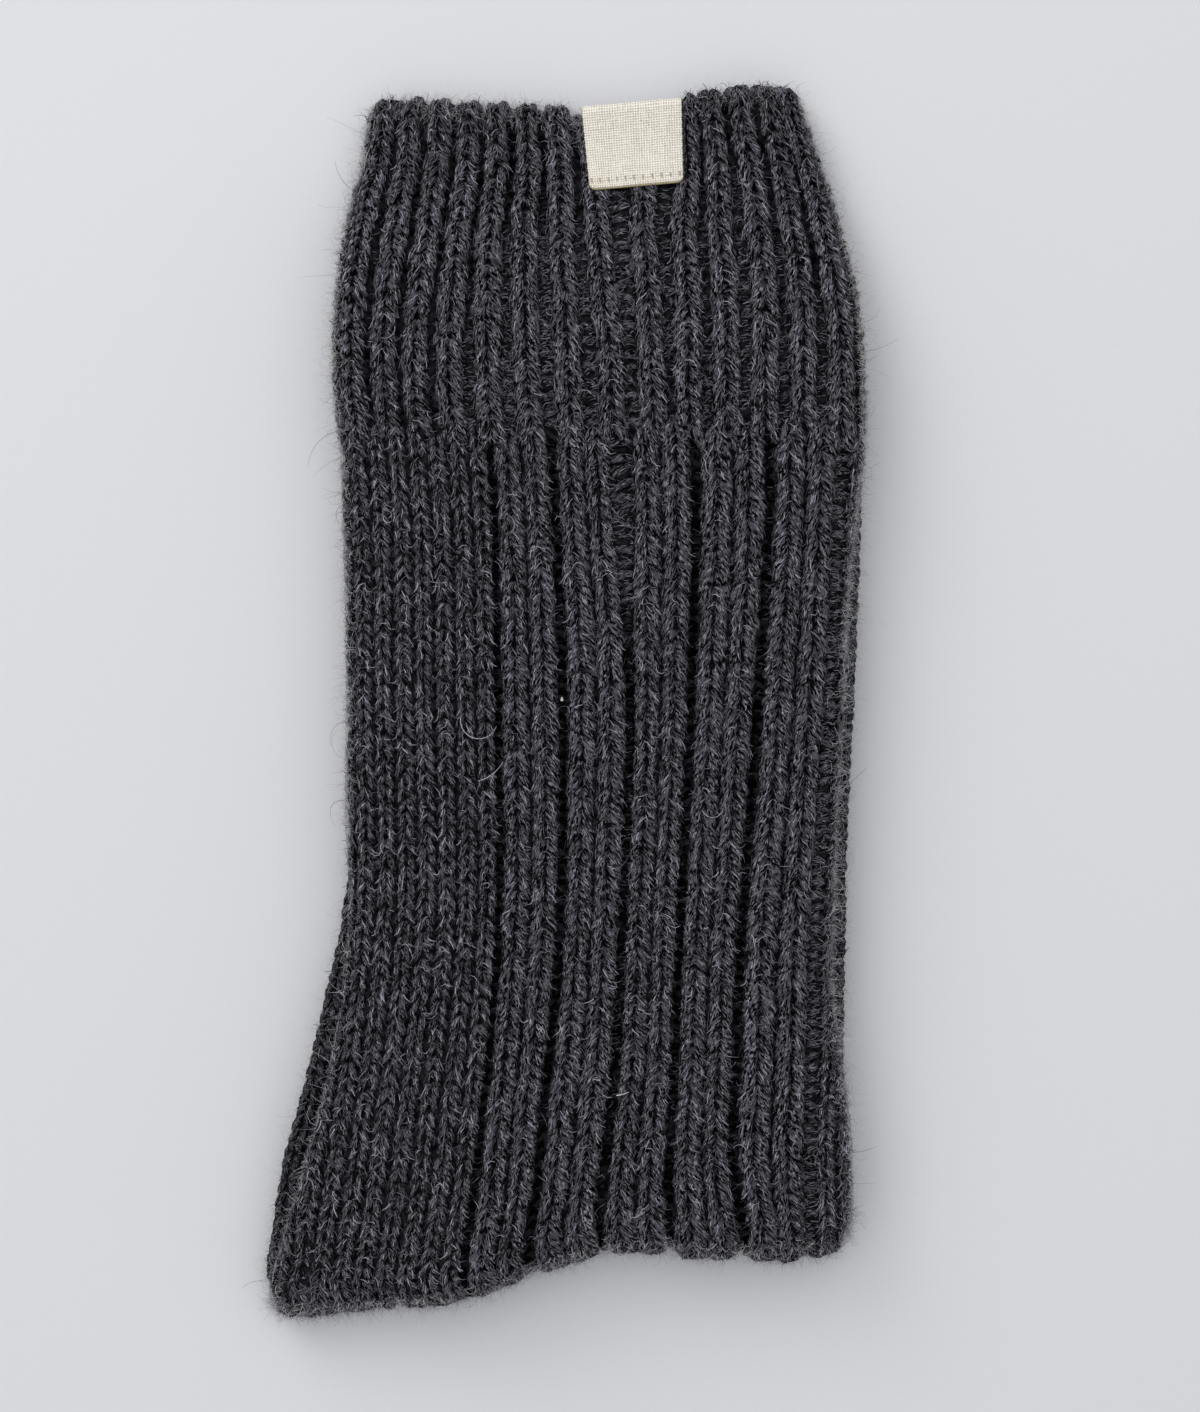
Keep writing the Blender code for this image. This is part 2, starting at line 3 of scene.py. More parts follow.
import bpy
import numpy as np
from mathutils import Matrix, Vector


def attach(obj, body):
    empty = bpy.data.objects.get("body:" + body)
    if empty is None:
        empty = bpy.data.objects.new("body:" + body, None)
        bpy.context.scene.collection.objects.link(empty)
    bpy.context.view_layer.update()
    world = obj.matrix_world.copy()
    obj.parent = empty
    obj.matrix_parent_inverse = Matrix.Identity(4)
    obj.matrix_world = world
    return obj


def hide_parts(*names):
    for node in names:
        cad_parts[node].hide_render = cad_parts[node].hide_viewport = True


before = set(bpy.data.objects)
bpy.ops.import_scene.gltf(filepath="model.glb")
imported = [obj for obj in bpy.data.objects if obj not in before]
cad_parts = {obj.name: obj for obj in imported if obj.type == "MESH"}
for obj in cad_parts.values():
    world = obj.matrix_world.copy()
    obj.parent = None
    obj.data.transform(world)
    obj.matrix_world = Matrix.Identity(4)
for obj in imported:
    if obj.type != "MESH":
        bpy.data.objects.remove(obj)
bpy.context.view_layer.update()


# ------------------------------------------------------------------ the lower sock's cloth
# The sock underneath: one tube of heavy charcoal yarn, knitted from cuff to toe, pressed flat, with its foot
# folded up behind its leg. It shows as narrow strips beside the upper sock and in the sides of the stack.
# X runs across the leg, y up towards the cuff. Sizes are in millimetres until a mesh is made.

MM = 0.001
CENTRE = np.array([0.044, 0.288, 0.0])  # from the drawing's middle to the pair's
RIM_Y, RIM_REACH, NOTCH_REACH, FOLD_REACH = 120.0, 25.0, 7.0, 90.0
DROP_START, DROP_END, FEET_TOP = 77.0, 113.0, 9.8  # past the toes the legs sink by the feet's height
HEEL_CORNER, HEEL_REACH = (-58.0, -122.0), 48.0
SIDE_ROUND, TOE_ROUND = 2.8, 6.0
LIP, LIP_RUN = 0.8, 2.6  # radius and length of the cloth's turn over the rim
MOUTH, MOUTH_REACH = 0.65, 15.0  # half of the gap between front and back at the rim, and how far it closes
INNER_WIDTH_LOSS = 4.0  # the inner face is this much narrower than the outer one


def table(columns, *rows):
    """Rows of numbers with named columns."""
    return np.array(list(rows), dtype=[(name, float) for name in columns.split()])


def smooth(t):
    """0 below 0, 1 above 1, and an even S between."""
    t = np.clip(t, 0.0, 1.0)
    return t * t * (3.0 - 2.0 * t)


def read(rows, column, at):
    """A column at any place along the table's first one, which rises: a cubic through the rows' slopes."""
    place, value = rows[rows.dtype.names[0]], rows[column]
    slope = np.gradient(value, place)
    i = np.clip(np.searchsorted(place, at) - 1, 0, len(rows) - 2)
    step = place[i + 1] - place[i]
    t = np.clip((at - place[i]) / step, 0.0, 1.0)
    u = 1.0 - t
    ends = value[i] * u * u * (1.0 + 2.0 * t) + value[i + 1] * t * t * (3.0 - 2.0 * t)
    return ends + step * t * u * (slope[i] * u - slope[i + 1] * t)


UPPER_LEG = table(
    "y left right",
    (-122.0, -59.4, 56.4), (-110.0, -56.2, 56.6), (-100.0, -53.2, 56.2), (-90.0, -50.2, 55.4),
    (-80.0, -47.2, 54.3), (-70.0, -45.1, 53.2), (-60.0, -43.4, 52.6), (-40.0, -41.9, 53.1),
    (-24.0, -42.5, 53.6), (0.0, -42.4, 54.9), (28.0, -42.8, 56.4), (40.0, -43.2, 57.9),
    (52.0, -43.9, 59.3), (60.0, -45.1, 59.4), (74.0, -45.4, 58.8), (87.0, -44.4, 56.7),
    (94.0, -43.5, 55.1), (101.0, -42.2, 53.4), (108.0, -40.3, 51.1), (115.0, -39.4, 48.5),
    (122.0, -38.6, 46.8),
)
LOWER_LEG = table(
    "y left right",
    (-118.0, -60.7, 55.2), (-110.0, -59.7, 55.2), (-100.0, -58.1, 55.4), (-90.0, -56.4, 55.7),
    (-80.0, -53.4, 55.9), (-60.0, -48.2, 56.1), (-40.0, -43.9, 56.4), (-20.0, -42.0, 56.9),
    (0.0, -41.6, 58.1), (28.0, -41.8, 59.1), (48.0, -42.6, 59.5), (58.0, -44.0, 59.0),
    (74.0, -44.6, 57.8), (94.0, -42.7, 54.2), (108.0, -39.5, 50.2), (122.0, -37.8, 45.8),
)
LOWER_FOOT = table(
    "y left right",
    (-118.0, -59.7, 55.2), (-108.0, -55.6, 55.2), (-96.0, -49.5, 54.6), (-80.0, -44.8, 53.4),
    (-50.0, -41.5, 52.0), (0.0, -40.0, 50.5), (30.0, -38.5, 48.5), (50.0, -35.5, 45.0),
    (62.0, -30.0, 39.5), (70.0, -23.5, 33.0), (76.0, -14.5, 24.0), (79.0, -6.5, 16.0),
    (80.0, -1.0, 10.5),
)
BOTTOM_FOLD = table(
    "x y",
    (-60.6, -121.8), (-58.5, -123.2), (-54.0, -123.6), (-46.0, -123.0), (-33.0, -121.8),
    (-21.0, -119.9), (-13.0, -117.2), (-5.0, -114.0), (4.0, -110.6), (10.0, -109.4),
    (22.0, -109.8), (40.0, -110.5), (50.0, -110.0), (55.0, -108.8), (57.5, -107.2),
)
FRONT_RIM = table(
    "x y",
    (-39.0, 120.0), (-30.0, 119.9), (-18.0, 119.3), (-6.0, 118.7), (1.5, 118.0), (4.0, 117.0),
    (13.0, 117.8), (22.8, 118.2), (23.6, 118.9), (24.4, 120.7), (25.2, 121.3), (27.5, 121.7),
    (33.0, 122.5), (41.0, 123.1), (47.0, 122.5),
)
BACK_RIM = table(
    "x y",
    (-39.0, 120.0), (-34.0, 120.9), (-20.0, 120.5), (-8.0, 120.0), (0.0, 119.4), (6.0, 117.2),
    (22.0, 118.2), (30.0, 120.8), (43.0, 122.0), (47.0, 122.3),
)


def press(points):
    """Thins the stack towards its side edges and the heel's corner: heights shrink there by up to a third."""
    x, y, z = np.moveaxis(points, -1, 0)
    left, right = read(UPPER_LEG, "left", y), read(UPPER_LEG, "right", y)
    q = np.clip(np.abs(2.0 * x - left - right) / (right - left), 0.0, 1.0)
    corner = np.hypot(x - HEEL_CORNER[0], y - HEEL_CORNER[1])
    kept = (1.0 - 0.12 * q**4) * (1.0 - 0.28 * smooth(1.0 - corner / HEEL_REACH))
    return np.stack([x, y, z * kept], -1)


class Tube:
    """A flattened sock as one wall. `down` is the way in mm from the rim along the cloth, over the outside;
    below 0 it turns over the lip and runs down the inside. `q` goes round: 0 to 1 over the front from the
    left edge to the right one, and 1 to 2 back behind it, in even steps of girth. The heights are those of
    the leg's and the foot's middle. The thickness is from there to the front, to the back and to the inner
    faces. The fold has its depth and its length."""

    COLUMNS = 256  # on the front, and as many behind

    def __init__(self, leg, foot, heights, thickness, fold, inset, turn_y, toe_y, ribs, notches):
        self.leg, self.foot, self.ribs, self.notches = leg, foot, ribs, notches
        self.leg_z, self.foot_z = heights
        self.front, self.back, self.slit = thickness
        self.depth, self.inset, self.toe_y = fold[0], inset, toe_y
        self.reach = self.depth + self.front
        self.turn_y = turn_y
        self.turn = turn_y + self.reach
        self.fold_start = RIM_Y - self.turn
        self.fold_end = self.fold_start + fold[1]
        self.length = self.fold_end + toe_y - self.turn - 0.02
        self.downs = np.arange(-14.0, self.length, 1.0)
        self.share = self.even_shares(self.downs)
        self.points = self.skin(self.downs, self.share)
        along = np.gradient(self.points, axis=0)
        ring = np.roll(self.points, -1, 1) - np.roll(self.points, 1, 1)
        self.normals = np.cross(along, ring)
        self.normals /= np.linalg.norm(self.normals, axis=2, keepdims=True) + 1e-9
        self.girths = np.linalg.norm(ring, axis=2)[:, : self.COLUMNS].sum(1) / 2.0

    def sheet(self, down, share, behind):
        """The middle of the flattened tube and its outward direction: flat legs, a half turn, a flat foot."""
        angle = np.pi * np.clip((down - self.fold_start) / (self.fold_end - self.fold_start), 0.0, 1.0)
        foot = down > self.fold_end
        place = np.where(foot, self.turn + down - self.fold_end, np.maximum(RIM_Y - down, self.turn))
        slant = smooth((self.turn + FOLD_REACH - place) / FOLD_REACH)
        edge_y = place - self.reach * slant
        left = np.where(foot, read(self.foot, "left", edge_y), read(self.leg, "left", edge_y))
        right = np.where(foot, read(self.foot, "right", edge_y), read(self.leg, "right", edge_y))
        x = left + share * (right - left)
        y = place + (read(BOTTOM_FOLD, "y", x) + self.inset + self.reach - self.turn) * slant
        rim = np.where(behind, read(BACK_RIM, "y", x), read(FRONT_RIM, "y", x)) - self.inset / 3.0
        rim = (rim - RIM_Y - LIP - 0.3) * smooth((place - RIM_Y + RIM_REACH) / RIM_REACH)
        rim = rim - self.notches(x) * smooth((place - RIM_Y + NOTCH_REACH) / NOTCH_REACH)
        y = y + np.where(foot, 0.0, rim) - self.depth * np.sin(angle)
        drop = FEET_TOP * smooth((y - DROP_START) / (DROP_END - DROP_START)) * (1.0 - foot)
        z = self.foot_z + (self.leg_z - self.foot_z) * (1.0 + np.cos(angle)) / 2.0 - drop
        out = np.stack([0.0 * x, -np.sin(angle) + 0.0 * x, np.cos(angle) + 0.0 * x], -1)
        return np.stack([x, y, z], -1), out, right - left

    def skin(self, down, share):
        """The cloth's surface: an outer face over an inner one, joined by a half circle over the rim."""
        down = np.asarray(down, float)[:, None]
        turned = np.pi * np.clip(-down / LIP_RUN, 0.0, 1.0)
        deep = np.where(down < 0.0, np.maximum(-down - LIP_RUN, 0.0), down)
        behind = np.arange(share.shape[1])[None, :] > share.shape[1] // 2
        middle, out, width = self.sheet(deep, share, behind)
        edge = np.minimum(share, 1.0 - share) * width
        edge = np.sqrt(1.0 - np.clip(1.0 - edge / SIDE_ROUND, 0.0, 1.0) ** 2)
        end = np.clip((deep - self.length + TOE_ROUND) / TOE_ROUND, 0.0, 0.97)
        outer = np.where(behind, -self.back, self.front + self.ribs(middle, deep, self)) * edge
        outer = outer * np.sqrt(1.0 - end * end)
        mouth = smooth(2.0 - deep / MOUTH_REACH)
        inner = np.where(behind, -1.0, 1.0) * edge * (self.slit + (MOUTH - self.slit) * mouth)
        inside = (1.0 - np.cos(turned)) / 2.0
        centre = middle[..., :1].min(1, keepdims=True) + width[..., None] / 2.0
        middle[..., :1] += (centre - middle[..., :1]) * (inside * INNER_WIDTH_LOSS / width)[..., None]
        middle[..., 1] += LIP * np.sin(turned)
        return press(middle + (inner + (outer - inner) * (1.0 - inside))[..., None] * out)

    def even_shares(self, downs):
        """Shares of the width at even steps of girth, for each row."""
        fine = 0.5 - 0.5 * np.cos(np.linspace(0.0, np.pi, 241))
        fine = np.concatenate([fine, fine[-2:0:-1]])
        ring = self.skin(downs, np.tile(fine, (len(downs), 1)))
        step = np.linalg.norm(np.roll(ring, -1, 1) - ring, axis=2)
        length = np.concatenate([np.zeros((len(downs), 1)), np.cumsum(step, 1)], 1)
        even = np.linspace(0.0, 1.0, self.COLUMNS + 1)
        rows = [np.concatenate([np.interp(even * row[240], row[:241], fine[:241]),
                                np.interp(row[240] + even[1:-1] * (row[-1] - row[240]), row[240:],
                                          np.append(fine[240:], 0.0))]) for row in length]
        return np.array(rows)

    def wall(self, downs, every):
        """The whole wall at some rows, as points, with the way along and round in mm for its weave."""
        share = self.even_shares(np.abs(np.clip(downs, -self.length - LIP_RUN, self.length)))[:, ::every]
        share[downs < 0] = self.even_shares(np.maximum(-downs[downs < 0] - LIP_RUN, 0.0))[:, ::every]
        points = self.skin(downs, share)
        girth = np.interp(np.abs(downs), self.downs, self.girths)
        q = np.arange(share.shape[1]) * every / self.COLUMNS
        return points, np.stack(np.broadcast_arrays(q[None, :] * girth[:, None], downs[:, None]), -1)

    def at(self, down, q):
        """A point on the cloth and its normal: the even grid, read between its nearest four."""
        row = np.clip(np.interp(down, self.downs, np.arange(len(self.downs))), 0, len(self.downs) - 1.001)
        column = np.mod(q, 2.0) * self.COLUMNS
        i, j = row.astype(int), column.astype(int) % (2 * self.COLUMNS)
        a, b = (row - i)[..., None], (column - np.floor(column))[..., None]
        k = (j + 1) % (2 * self.COLUMNS)
        found = []
        for grid in (self.points, self.normals):
            near = grid[i, j] * (1 - b) + grid[i, k] * b
            far = grid[i + 1, j] * (1 - b) + grid[i + 1, k] * b
            found.append(near * (1 - a) + far * a)
        return found

    def girth(self, down):
        return np.interp(down, self.downs, self.girths)

    def line(self, shares):
        """The q, at each row, of a line that runs at these shares of the front's width."""
        q = np.arange(self.COLUMNS + 1) / self.COLUMNS
        return np.array([np.interp(s, row[: self.COLUMNS + 1], q) for s, row in zip(shares, self.share)])


def make_piece(name, points, faces, finish, uv=None, place=None):
    """A smooth mesh piece from millimetre points and rows of corners, with what its finish reads at each
    point: the two ways along its yarn, and its place as height in the cloth, which the yarn's finish turns
    into painted shade, and shade of its dye."""
    mesh = bpy.data.meshes.new(name)
    points = (points.reshape(-1, 3) + CENTRE) * MM
    faces = faces.reshape(-1, faces.shape[-1])
    mesh.vertices.add(len(points))
    mesh.vertices.foreach_set("co", points.astype(np.float32).ravel())
    mesh.loops.add(faces.size)
    mesh.loops.foreach_set("vertex_index", faces.astype(np.int32).ravel())
    mesh.polygons.add(len(faces))
    mesh.polygons.foreach_set("loop_start", np.arange(len(faces), dtype=np.int32) * faces.shape[1])
    for layer, values in (("yarn", uv), ("place", place)):
        if values is not None:
            values = np.asarray(values, np.float32).reshape(-1, 2)[faces.ravel()]
            mesh.uv_layers.new(name=layer).uv.foreach_set("vector", values.ravel())
    mesh.update(calc_edges=True)
    mesh.validate()
    mesh.shade_smooth()
    mesh.materials.append(finish.material)
    piece = bpy.data.objects.new(name, mesh)
    bpy.context.scene.collection.objects.link(piece)
    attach(piece, "root")
    return piece


def patches(count, rows, columns, round_too=False):
    """Corners of the faces of many grids, each of rows by columns points. A round one closes on itself."""
    i, j = np.meshgrid(np.arange(rows - 1), np.arange(columns - (not round_too)), indexing="ij")
    k = (j + 1) % columns
    quads = np.stack([i * columns + j, i * columns + k, (i + 1) * columns + k, (i + 1) * columns + j], -1)
    return np.arange(count)[:, None, None] * rows * columns + quads.reshape(1, -1, 4)


def close_ends(rows, columns):
    """Corners of the faces that close a flattened tube's two ends, front column to back column."""
    j = np.arange(columns // 2)
    cap = np.stack([j, j + 1, (columns - j - 1) % columns, (columns - j) % columns], 1)
    return np.concatenate([cap[1:-1, ::-1], cap[1:-1] + (rows - 1) * columns])


class Signal:
    """One output of a shader node. Sums and products of signals make Math nodes."""

    def __init__(self, finish, socket):
        self.finish, self.socket = finish, socket

    def __add__(self, other):
        return self.finish.maths("ADD", self, other)

    def __sub__(self, other):
        return self.finish.maths("SUBTRACT", self, other)

    def __rsub__(self, other):
        return self.finish.maths("SUBTRACT", other, self)

    def __mul__(self, other):
        return self.finish.maths("MULTIPLY", self, other)

    def __truediv__(self, other):
        return self.finish.maths("DIVIDE", self, other)

    def __pow__(self, other):
        return self.finish.maths("POWER", self, other)

    __radd__, __rmul__ = __add__, __mul__


class Finish:
    """A material on one Principled shader. Its constants stand on the shader's own sockets."""

    def __init__(self, name, constants):
        self.material = bpy.data.materials.new(name)
        self.material.use_nodes = True
        self.tree = self.material.node_tree
        self.shader = self.tree.nodes["Principled BSDF"]
        for socket, value in constants.items():
            self.shader.inputs[socket].default_value = value

    def put(self, socket, value):
        if isinstance(value, Signal):
            self.tree.links.new(value.socket, socket)
        else:
            socket.default_value = value

    def node(self, kind, settings, inputs, output=0):
        made = self.tree.nodes.new("ShaderNode" + kind)
        for name, value in settings.items():
            setattr(made, name, value)
        for name, value in inputs.items():
            self.put(made.inputs[name], value)
        return Signal(self, made.outputs[output])

    def maths(self, operation, *values):
        return self.node("Math", {"operation": operation}, dict(enumerate(values)))

    def vector(self, x, y, z=0.0):
        return self.node("CombineXYZ", {}, {0: x, 1: y, 2: z})

    def mix(self, factor, first, second):
        """From the first colour to the second."""
        return self.node("Mix", {"data_type": "RGBA"}, {0: factor, 6: first, 7: second}, 2)

    def spread(self, value, low, high):
        """0 where the value is low, 1 where it is high."""
        names = {"Value": value, "From Min": low, "From Max": high}
        return self.node("MapRange", {"interpolation_type": "SMOOTHSTEP"}, names)

    def noise(self, where, scale, detail=2.0, roughness=0.5):
        return self.node("TexNoise", {}, {"Vector": where, "Scale": scale, "Detail": detail,
                                          "Roughness": roughness})

    def carried(self, layer):
        """The two numbers that a piece's points carry in one of its layers."""
        uv = self.node("UVMap", {"uv_map": layer}, {})
        return self.node("SeparateXYZ", {}, {0: uv}), self.node("SeparateXYZ", {}, {0: uv}, 1)

    def feed(self, colour, height, strength, distance):
        """Colour and relief into the shader."""
        self.put(self.shader.inputs["Base Color"], colour)
        bump = self.node("Bump", {}, {"Strength": strength, "Distance": distance, "Height": height})
        self.put(self.shader.inputs["Normal"], bump)
        return self


def yarn_finish(name, dark, light, fleck):
    """Heathered yarn: fine streaks wind along the strand, some fibres nearly black and a few pale. The
    grooves between two stitches get painted shade: the colour goes nearly black where the yarn lies low in
    the cloth."""
    finish = Finish(name, {"Roughness": 1.0, "Specular IOR Level": 0.0})
    along, across = finish.carried("yarn")
    height, shade = finish.carried("place")
    wound = across + along * 0.3
    streaks = finish.noise(finish.vector(along * 0.5, wound * 2.3), 1.0, 1.0, 0.6)
    hairs = finish.noise(finish.vector(along * 0.8 + 31.0, wound * 4.2 - along * 1.2), 1.0, 1.0, 0.6)
    cloudy = finish.noise(finish.vector(along * 0.3, across * 0.4 + 17.0), 1.0, 2.0, 0.6)
    grey = finish.spread(streaks * 0.85 + cloudy * 0.15 + shade * 0.04, 0.45, 0.62)
    colour = finish.mix(grey, dark, light)
    colour = finish.mix(finish.spread(hairs, 0.55, 0.66) * 0.8, colour, fleck)
    # painted shade: nearly black where the carried height in the cloth is low, at a stitch's ends and sides
    colour = finish.mix(finish.spread(height, 0.15, 0.92), (0.001, 0.001, 0.0015, 1.0), colour)
    return finish.feed(colour, streaks + hairs * 0.6, 1.0, 0.0005)


def ground_finish(name, dark, light):
    """The cloth behind the raised stitches: the same yarn, its own stitches 4 mm wide and 2.6 mm high, darker
    in their low places as painted shade.
    """
    finish = Finish(name, {"Roughness": 1.0, "Specular IOR Level": 0.0})
    along, across = finish.carried("yarn")
    wale = finish.maths("PINGPONG", along / 4.0, 0.5)
    course = finish.maths("SINE", (across / 2.6 + wale * 1.4) * 6.2832)
    fuzz = finish.noise(finish.vector(along * 2.0, across * 2.0), 1.0, 4.0, 0.65)
    relief = course * 0.5 + finish.maths("SINE", wale * 6.2832) * 0.6 + fuzz
    colour = finish.mix(finish.spread(relief, -0.2, 1.6), dark, light)
    return finish.feed(colour, relief, 0.8, 0.0005)


# painted shade: these colours are far darker than the yarn's, standing in for the shade behind and under the
# raised stitches
ground_in_painted_shade = ground_finish("charcoal_ground_in_painted_shade", (0.002, 0.002, 0.003, 1.0), (0.018, 0.018, 0.021, 1.0))


def none(*where):
    return 0.0


def mouth_rows(tube):
    """Rows of the wall from its toe, inside, up to the rim: far apart, then close, then round the lip."""
    return np.concatenate([np.arange(-tube.length - LIP_RUN, -14.0, 12.0), np.arange(-14.0, -LIP_RUN, 1.5),
                           np.linspace(-LIP_RUN, 0.0, 7)])


lower = Tube(LOWER_LEG, LOWER_FOOT, heights=(12.0, 7.2), thickness=(1.5, 1.7, 0.3), fold=(2.4, 12.0),
             inset=4.7, turn_y=-112.0, toe_y=80.0, ribs=none, notches=none)
lower_rows = np.concatenate([mouth_rows(lower),
                             np.arange(1.5, lower.length, 3.0), [lower.length]])
points, uv = lower.wall(lower_rows, 4)
faces = np.concatenate([patches(1, *points.shape[:2], True)[0], close_ends(*points.shape[:2])])
lower_cloth = make_piece("lower_sock_cloth", points, faces, ground_in_painted_shade, uv)
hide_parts("lower_sock")


# ------------------------------------------------------------------ the upper sock's cloth
# The sock on top: the same tube, with narrow ribs in the cuff and, on the leg, a plain panel and five wide
# ribs. Its foot wraps round the lower sock and is what the pair lies on.

UPPER_FOOT = table(
    "y left right",
    (-122.0, -58.6, 54.6), (-110.0, -55.5, 54.3), (-98.0, -50.0, 53.4), (-80.0, -44.5, 52.2),
    (-50.0, -42.0, 51.0), (0.0, -41.0, 50.0), (40.0, -39.5, 48.5), (60.0, -36.5, 45.0),
    (72.0, -31.0, 39.5), (80.0, -24.5, 33.0), (86.0, -15.5, 24.0), (89.0, -7.5, 16.0),
    (90.0, -2.0, 10.5),
)
CUFF_END, LEG_START = 54.0, 50.5
CUFF_RISE, RIB_RISE, PLAIN_RISE = 0.95, 0.8, 0.45  # how far ridges, ribs and the plain panel stand up
RIB_FLANK = 0.24  # share of a rib's width in each of its slopes
# The middle of each cuff ridge, as a share of the cuff's width, at three heights.
CUFF_STATIONS = (66.0, 94.0, 120.0)
CUFF_RIDGES = np.array([
    (0.031, 0.030, 0.030), (0.092, 0.099, 0.089), (0.150, 0.166, 0.159), (0.216, 0.229, 0.227),
    (0.289, 0.292, 0.294), (0.364, 0.361, 0.364), (0.443, 0.435, 0.432), (0.523, 0.508, 0.508),
    (0.600, 0.600, 0.630), (0.669, 0.683, 0.738), (0.741, 0.756, 0.796), (0.814, 0.834, 0.860),
    (0.887, 0.903, 0.926), (0.960, 0.967, 0.975),
])
LEG_VALLEYS = table(
    "y v0 v1 v2 v3 v4 v5",
    (-112.0, -19.2, -6.4, 7.6, 21.6, 36.3, 49.2), (-100.0, -17.4, -4.6, 8.6, 21.2, 33.8, 48.4),
    (-80.0, -15.4, -3.2, 10.4, 22.0, 33.8, 48.8), (-60.0, -13.8, -1.4, 11.2, 22.6, 34.6, 49.4),
    (-40.0, -12.8, -0.4, 12.0, 23.4, 35.8, 50.2), (0.0, -13.2, -0.2, 13.2, 25.2, 38.6, 52.6),
    (36.0, -13.8, -1.6, 11.8, 26.2, 40.8, 54.4), (54.0, -15.0, -2.6, 11.0, 26.0, 41.0, 55.6),
)
# Soft creases: from x, y to x, y, with their depth and width.
CREASES = (
    (-50.2, -108.0, -52.9, -118.2, 1.2, 1.5), (-33.2, -108.5, -33.4, -121.0, 0.5, 0.9),
    (-21.2, -108.0, -21.6, -118.0, 0.4, 0.9), (-44.0, -60.0, -47.5, -92.0, 0.4, 2.0),
)


def off_line(x, y, x0, y0, x1, y1):
    """How far points are from the line between two ends: to the nearest place on it, kept between them."""
    t = np.clip(((x - x0) * (x1 - x0) + (y - y0) * (y1 - y0)) / ((x1 - x0) ** 2 + (y1 - y0) ** 2), 0, 1)
    return np.hypot(x - x0 - t * (x1 - x0), y - y0 - t * (y1 - y0))


def ridge_shares(y):
    """The cuff ridges' middles at these heights, one row for each ridge."""
    return np.array([np.interp(y, CUFF_STATIONS, row) for row in CUFF_RIDGES])


def ridges_passed(x, y):
    """How many cuff ridges lie to the left of a point: whole numbers in the valleys, halves on the ridges."""
    left, right = read(UPPER_LEG, "left", y), read(UPPER_LEG, "right", y)
    share = (x - left) / (right - left)
    ridge = ridge_shares(np.maximum(y, CUFF_END))
    valley = np.concatenate([0.0 * ridge[:1], (ridge[1:] + ridge[:-1]) / 2.0, 0.0 * ridge[:1] + 0.995])
    return np.clip((share - valley[:-1]) / (valley[1:] - valley[:-1]), 0.0, 1.0).sum(0)


def rim_notches(x):
    """How far the rim sinks between two ridges."""
    return 1.7 * (1.0 - np.abs(np.sin(np.pi * ridges_passed(x, 120.0 + 0.0 * x))) ** 0.7) - 0.8


def upper_ribs(middle, down, tube):
    """Rise of the upper sock's front: rounded ridges in the cuff, flat-topped ribs in the leg."""
    x, y = middle[..., 0], middle[..., 1]
    right = read(UPPER_LEG, "right", y)
    cuff = CUFF_RISE * np.abs(np.sin(np.pi * ridges_passed(x, y))) ** 0.7
    low = np.minimum(y, LEG_START)
    lines = np.array([read(LEG_VALLEYS, name, low) for name in LEG_VALLEYS.dtype.names[1:]])
    lines = np.concatenate([lines, np.maximum(right, lines[-1:] + 6.0)[-1:]])
    steps = np.clip((x - lines[:-1]) / (lines[1:] - lines[:-1]), 0.0, 1.0)
    phase = np.mod(steps.sum(0), 1.0)
    dip = 1.0 - 0.22 * np.exp(-(((phase - 0.5) / 0.08) ** 2))
    leg = RIB_RISE * smooth(phase / RIB_FLANK) * smooth((1.0 - phase) / RIB_FLANK) * dip
    leg = np.where(x < lines[0], PLAIN_RISE * smooth((lines[0] - x) / 2.0), leg)
    rise = leg + (cuff - leg) * smooth((y - LEG_START) / (CUFF_END - LEG_START))
    angle = np.pi * np.clip((down - tube.fold_start) / (tube.fold_end - tube.fold_start), 0.0, 1.0)
    swell = 1.0 + (0.6 + 1.0 * smooth((x - 4.0) / 12.0)) * np.sin(angle)
    under = smooth((angle - 1.9) / 0.9)
    for *ends, depth, width in CREASES:
        rise = rise - depth * np.exp(-((off_line(x, y, *ends) / width) ** 2))
    wave = 0.22 * np.sin(x * 0.21 + y * 0.09 + 1.3) * np.sin(y * 0.13 - x * 0.05)
    return (rise + wave) * swell * (1.0 - under) + 0.3 * under


LEG_HEIGHT = 16.9  # of the upper leg's middle above the table
upper = Tube(UPPER_LEG, UPPER_FOOT, heights=(LEG_HEIGHT, 2.4), thickness=(1.5, 2.0, 0.2), fold=(4.6, 24.0),
             inset=0.0, turn_y=-117.0, toe_y=90.0, ribs=upper_ribs, notches=rim_notches)
upper_rows = np.concatenate([mouth_rows(upper), np.arange(1.5, upper.fold_end + 4.0, 1.5),
                             np.arange(upper.fold_end + 4.0, upper.length, 3.0), [upper.length]])
points, uv = upper.wall(upper_rows, 4)
faces = np.concatenate([patches(1, *points.shape[:2], True)[0], close_ends(*points.shape[:2])])
upper_cloth = make_piece("upper_sock_cloth", points, faces, ground_in_painted_shade, uv)
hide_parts("upper_sock")


# ------------------------------------------------------------------ the upper sock's stitches
# Each stitch shows as two fat legs of yarn that lean together at their upper end. They stand in columns:
# one on each cuff ridge, two on each wide rib, and side by side in the plain panel.

yarn = yarn_finish("charcoal_yarn", (0.002, 0.002, 0.003, 1.0), (0.088, 0.086, 0.099, 1.0),
                   (0.30, 0.295, 0.33, 1.0))
CUFF_PITCH, LEG_PITCH = 2.65, 2.55  # the height of one stitch
STRAND_GIRTH, STRAND_TOP, STRAND_SLANT = 0.355, 0.45, 0.31  # shares of a column's half width
# What is known of a stitch's leg: its place, the slope of its column, half that column's width, its height,
# which side it is on, how far it is lifted and turned, its dye and how round it stands.
LEG = "down q slope half pitch side lift turn dye relief"


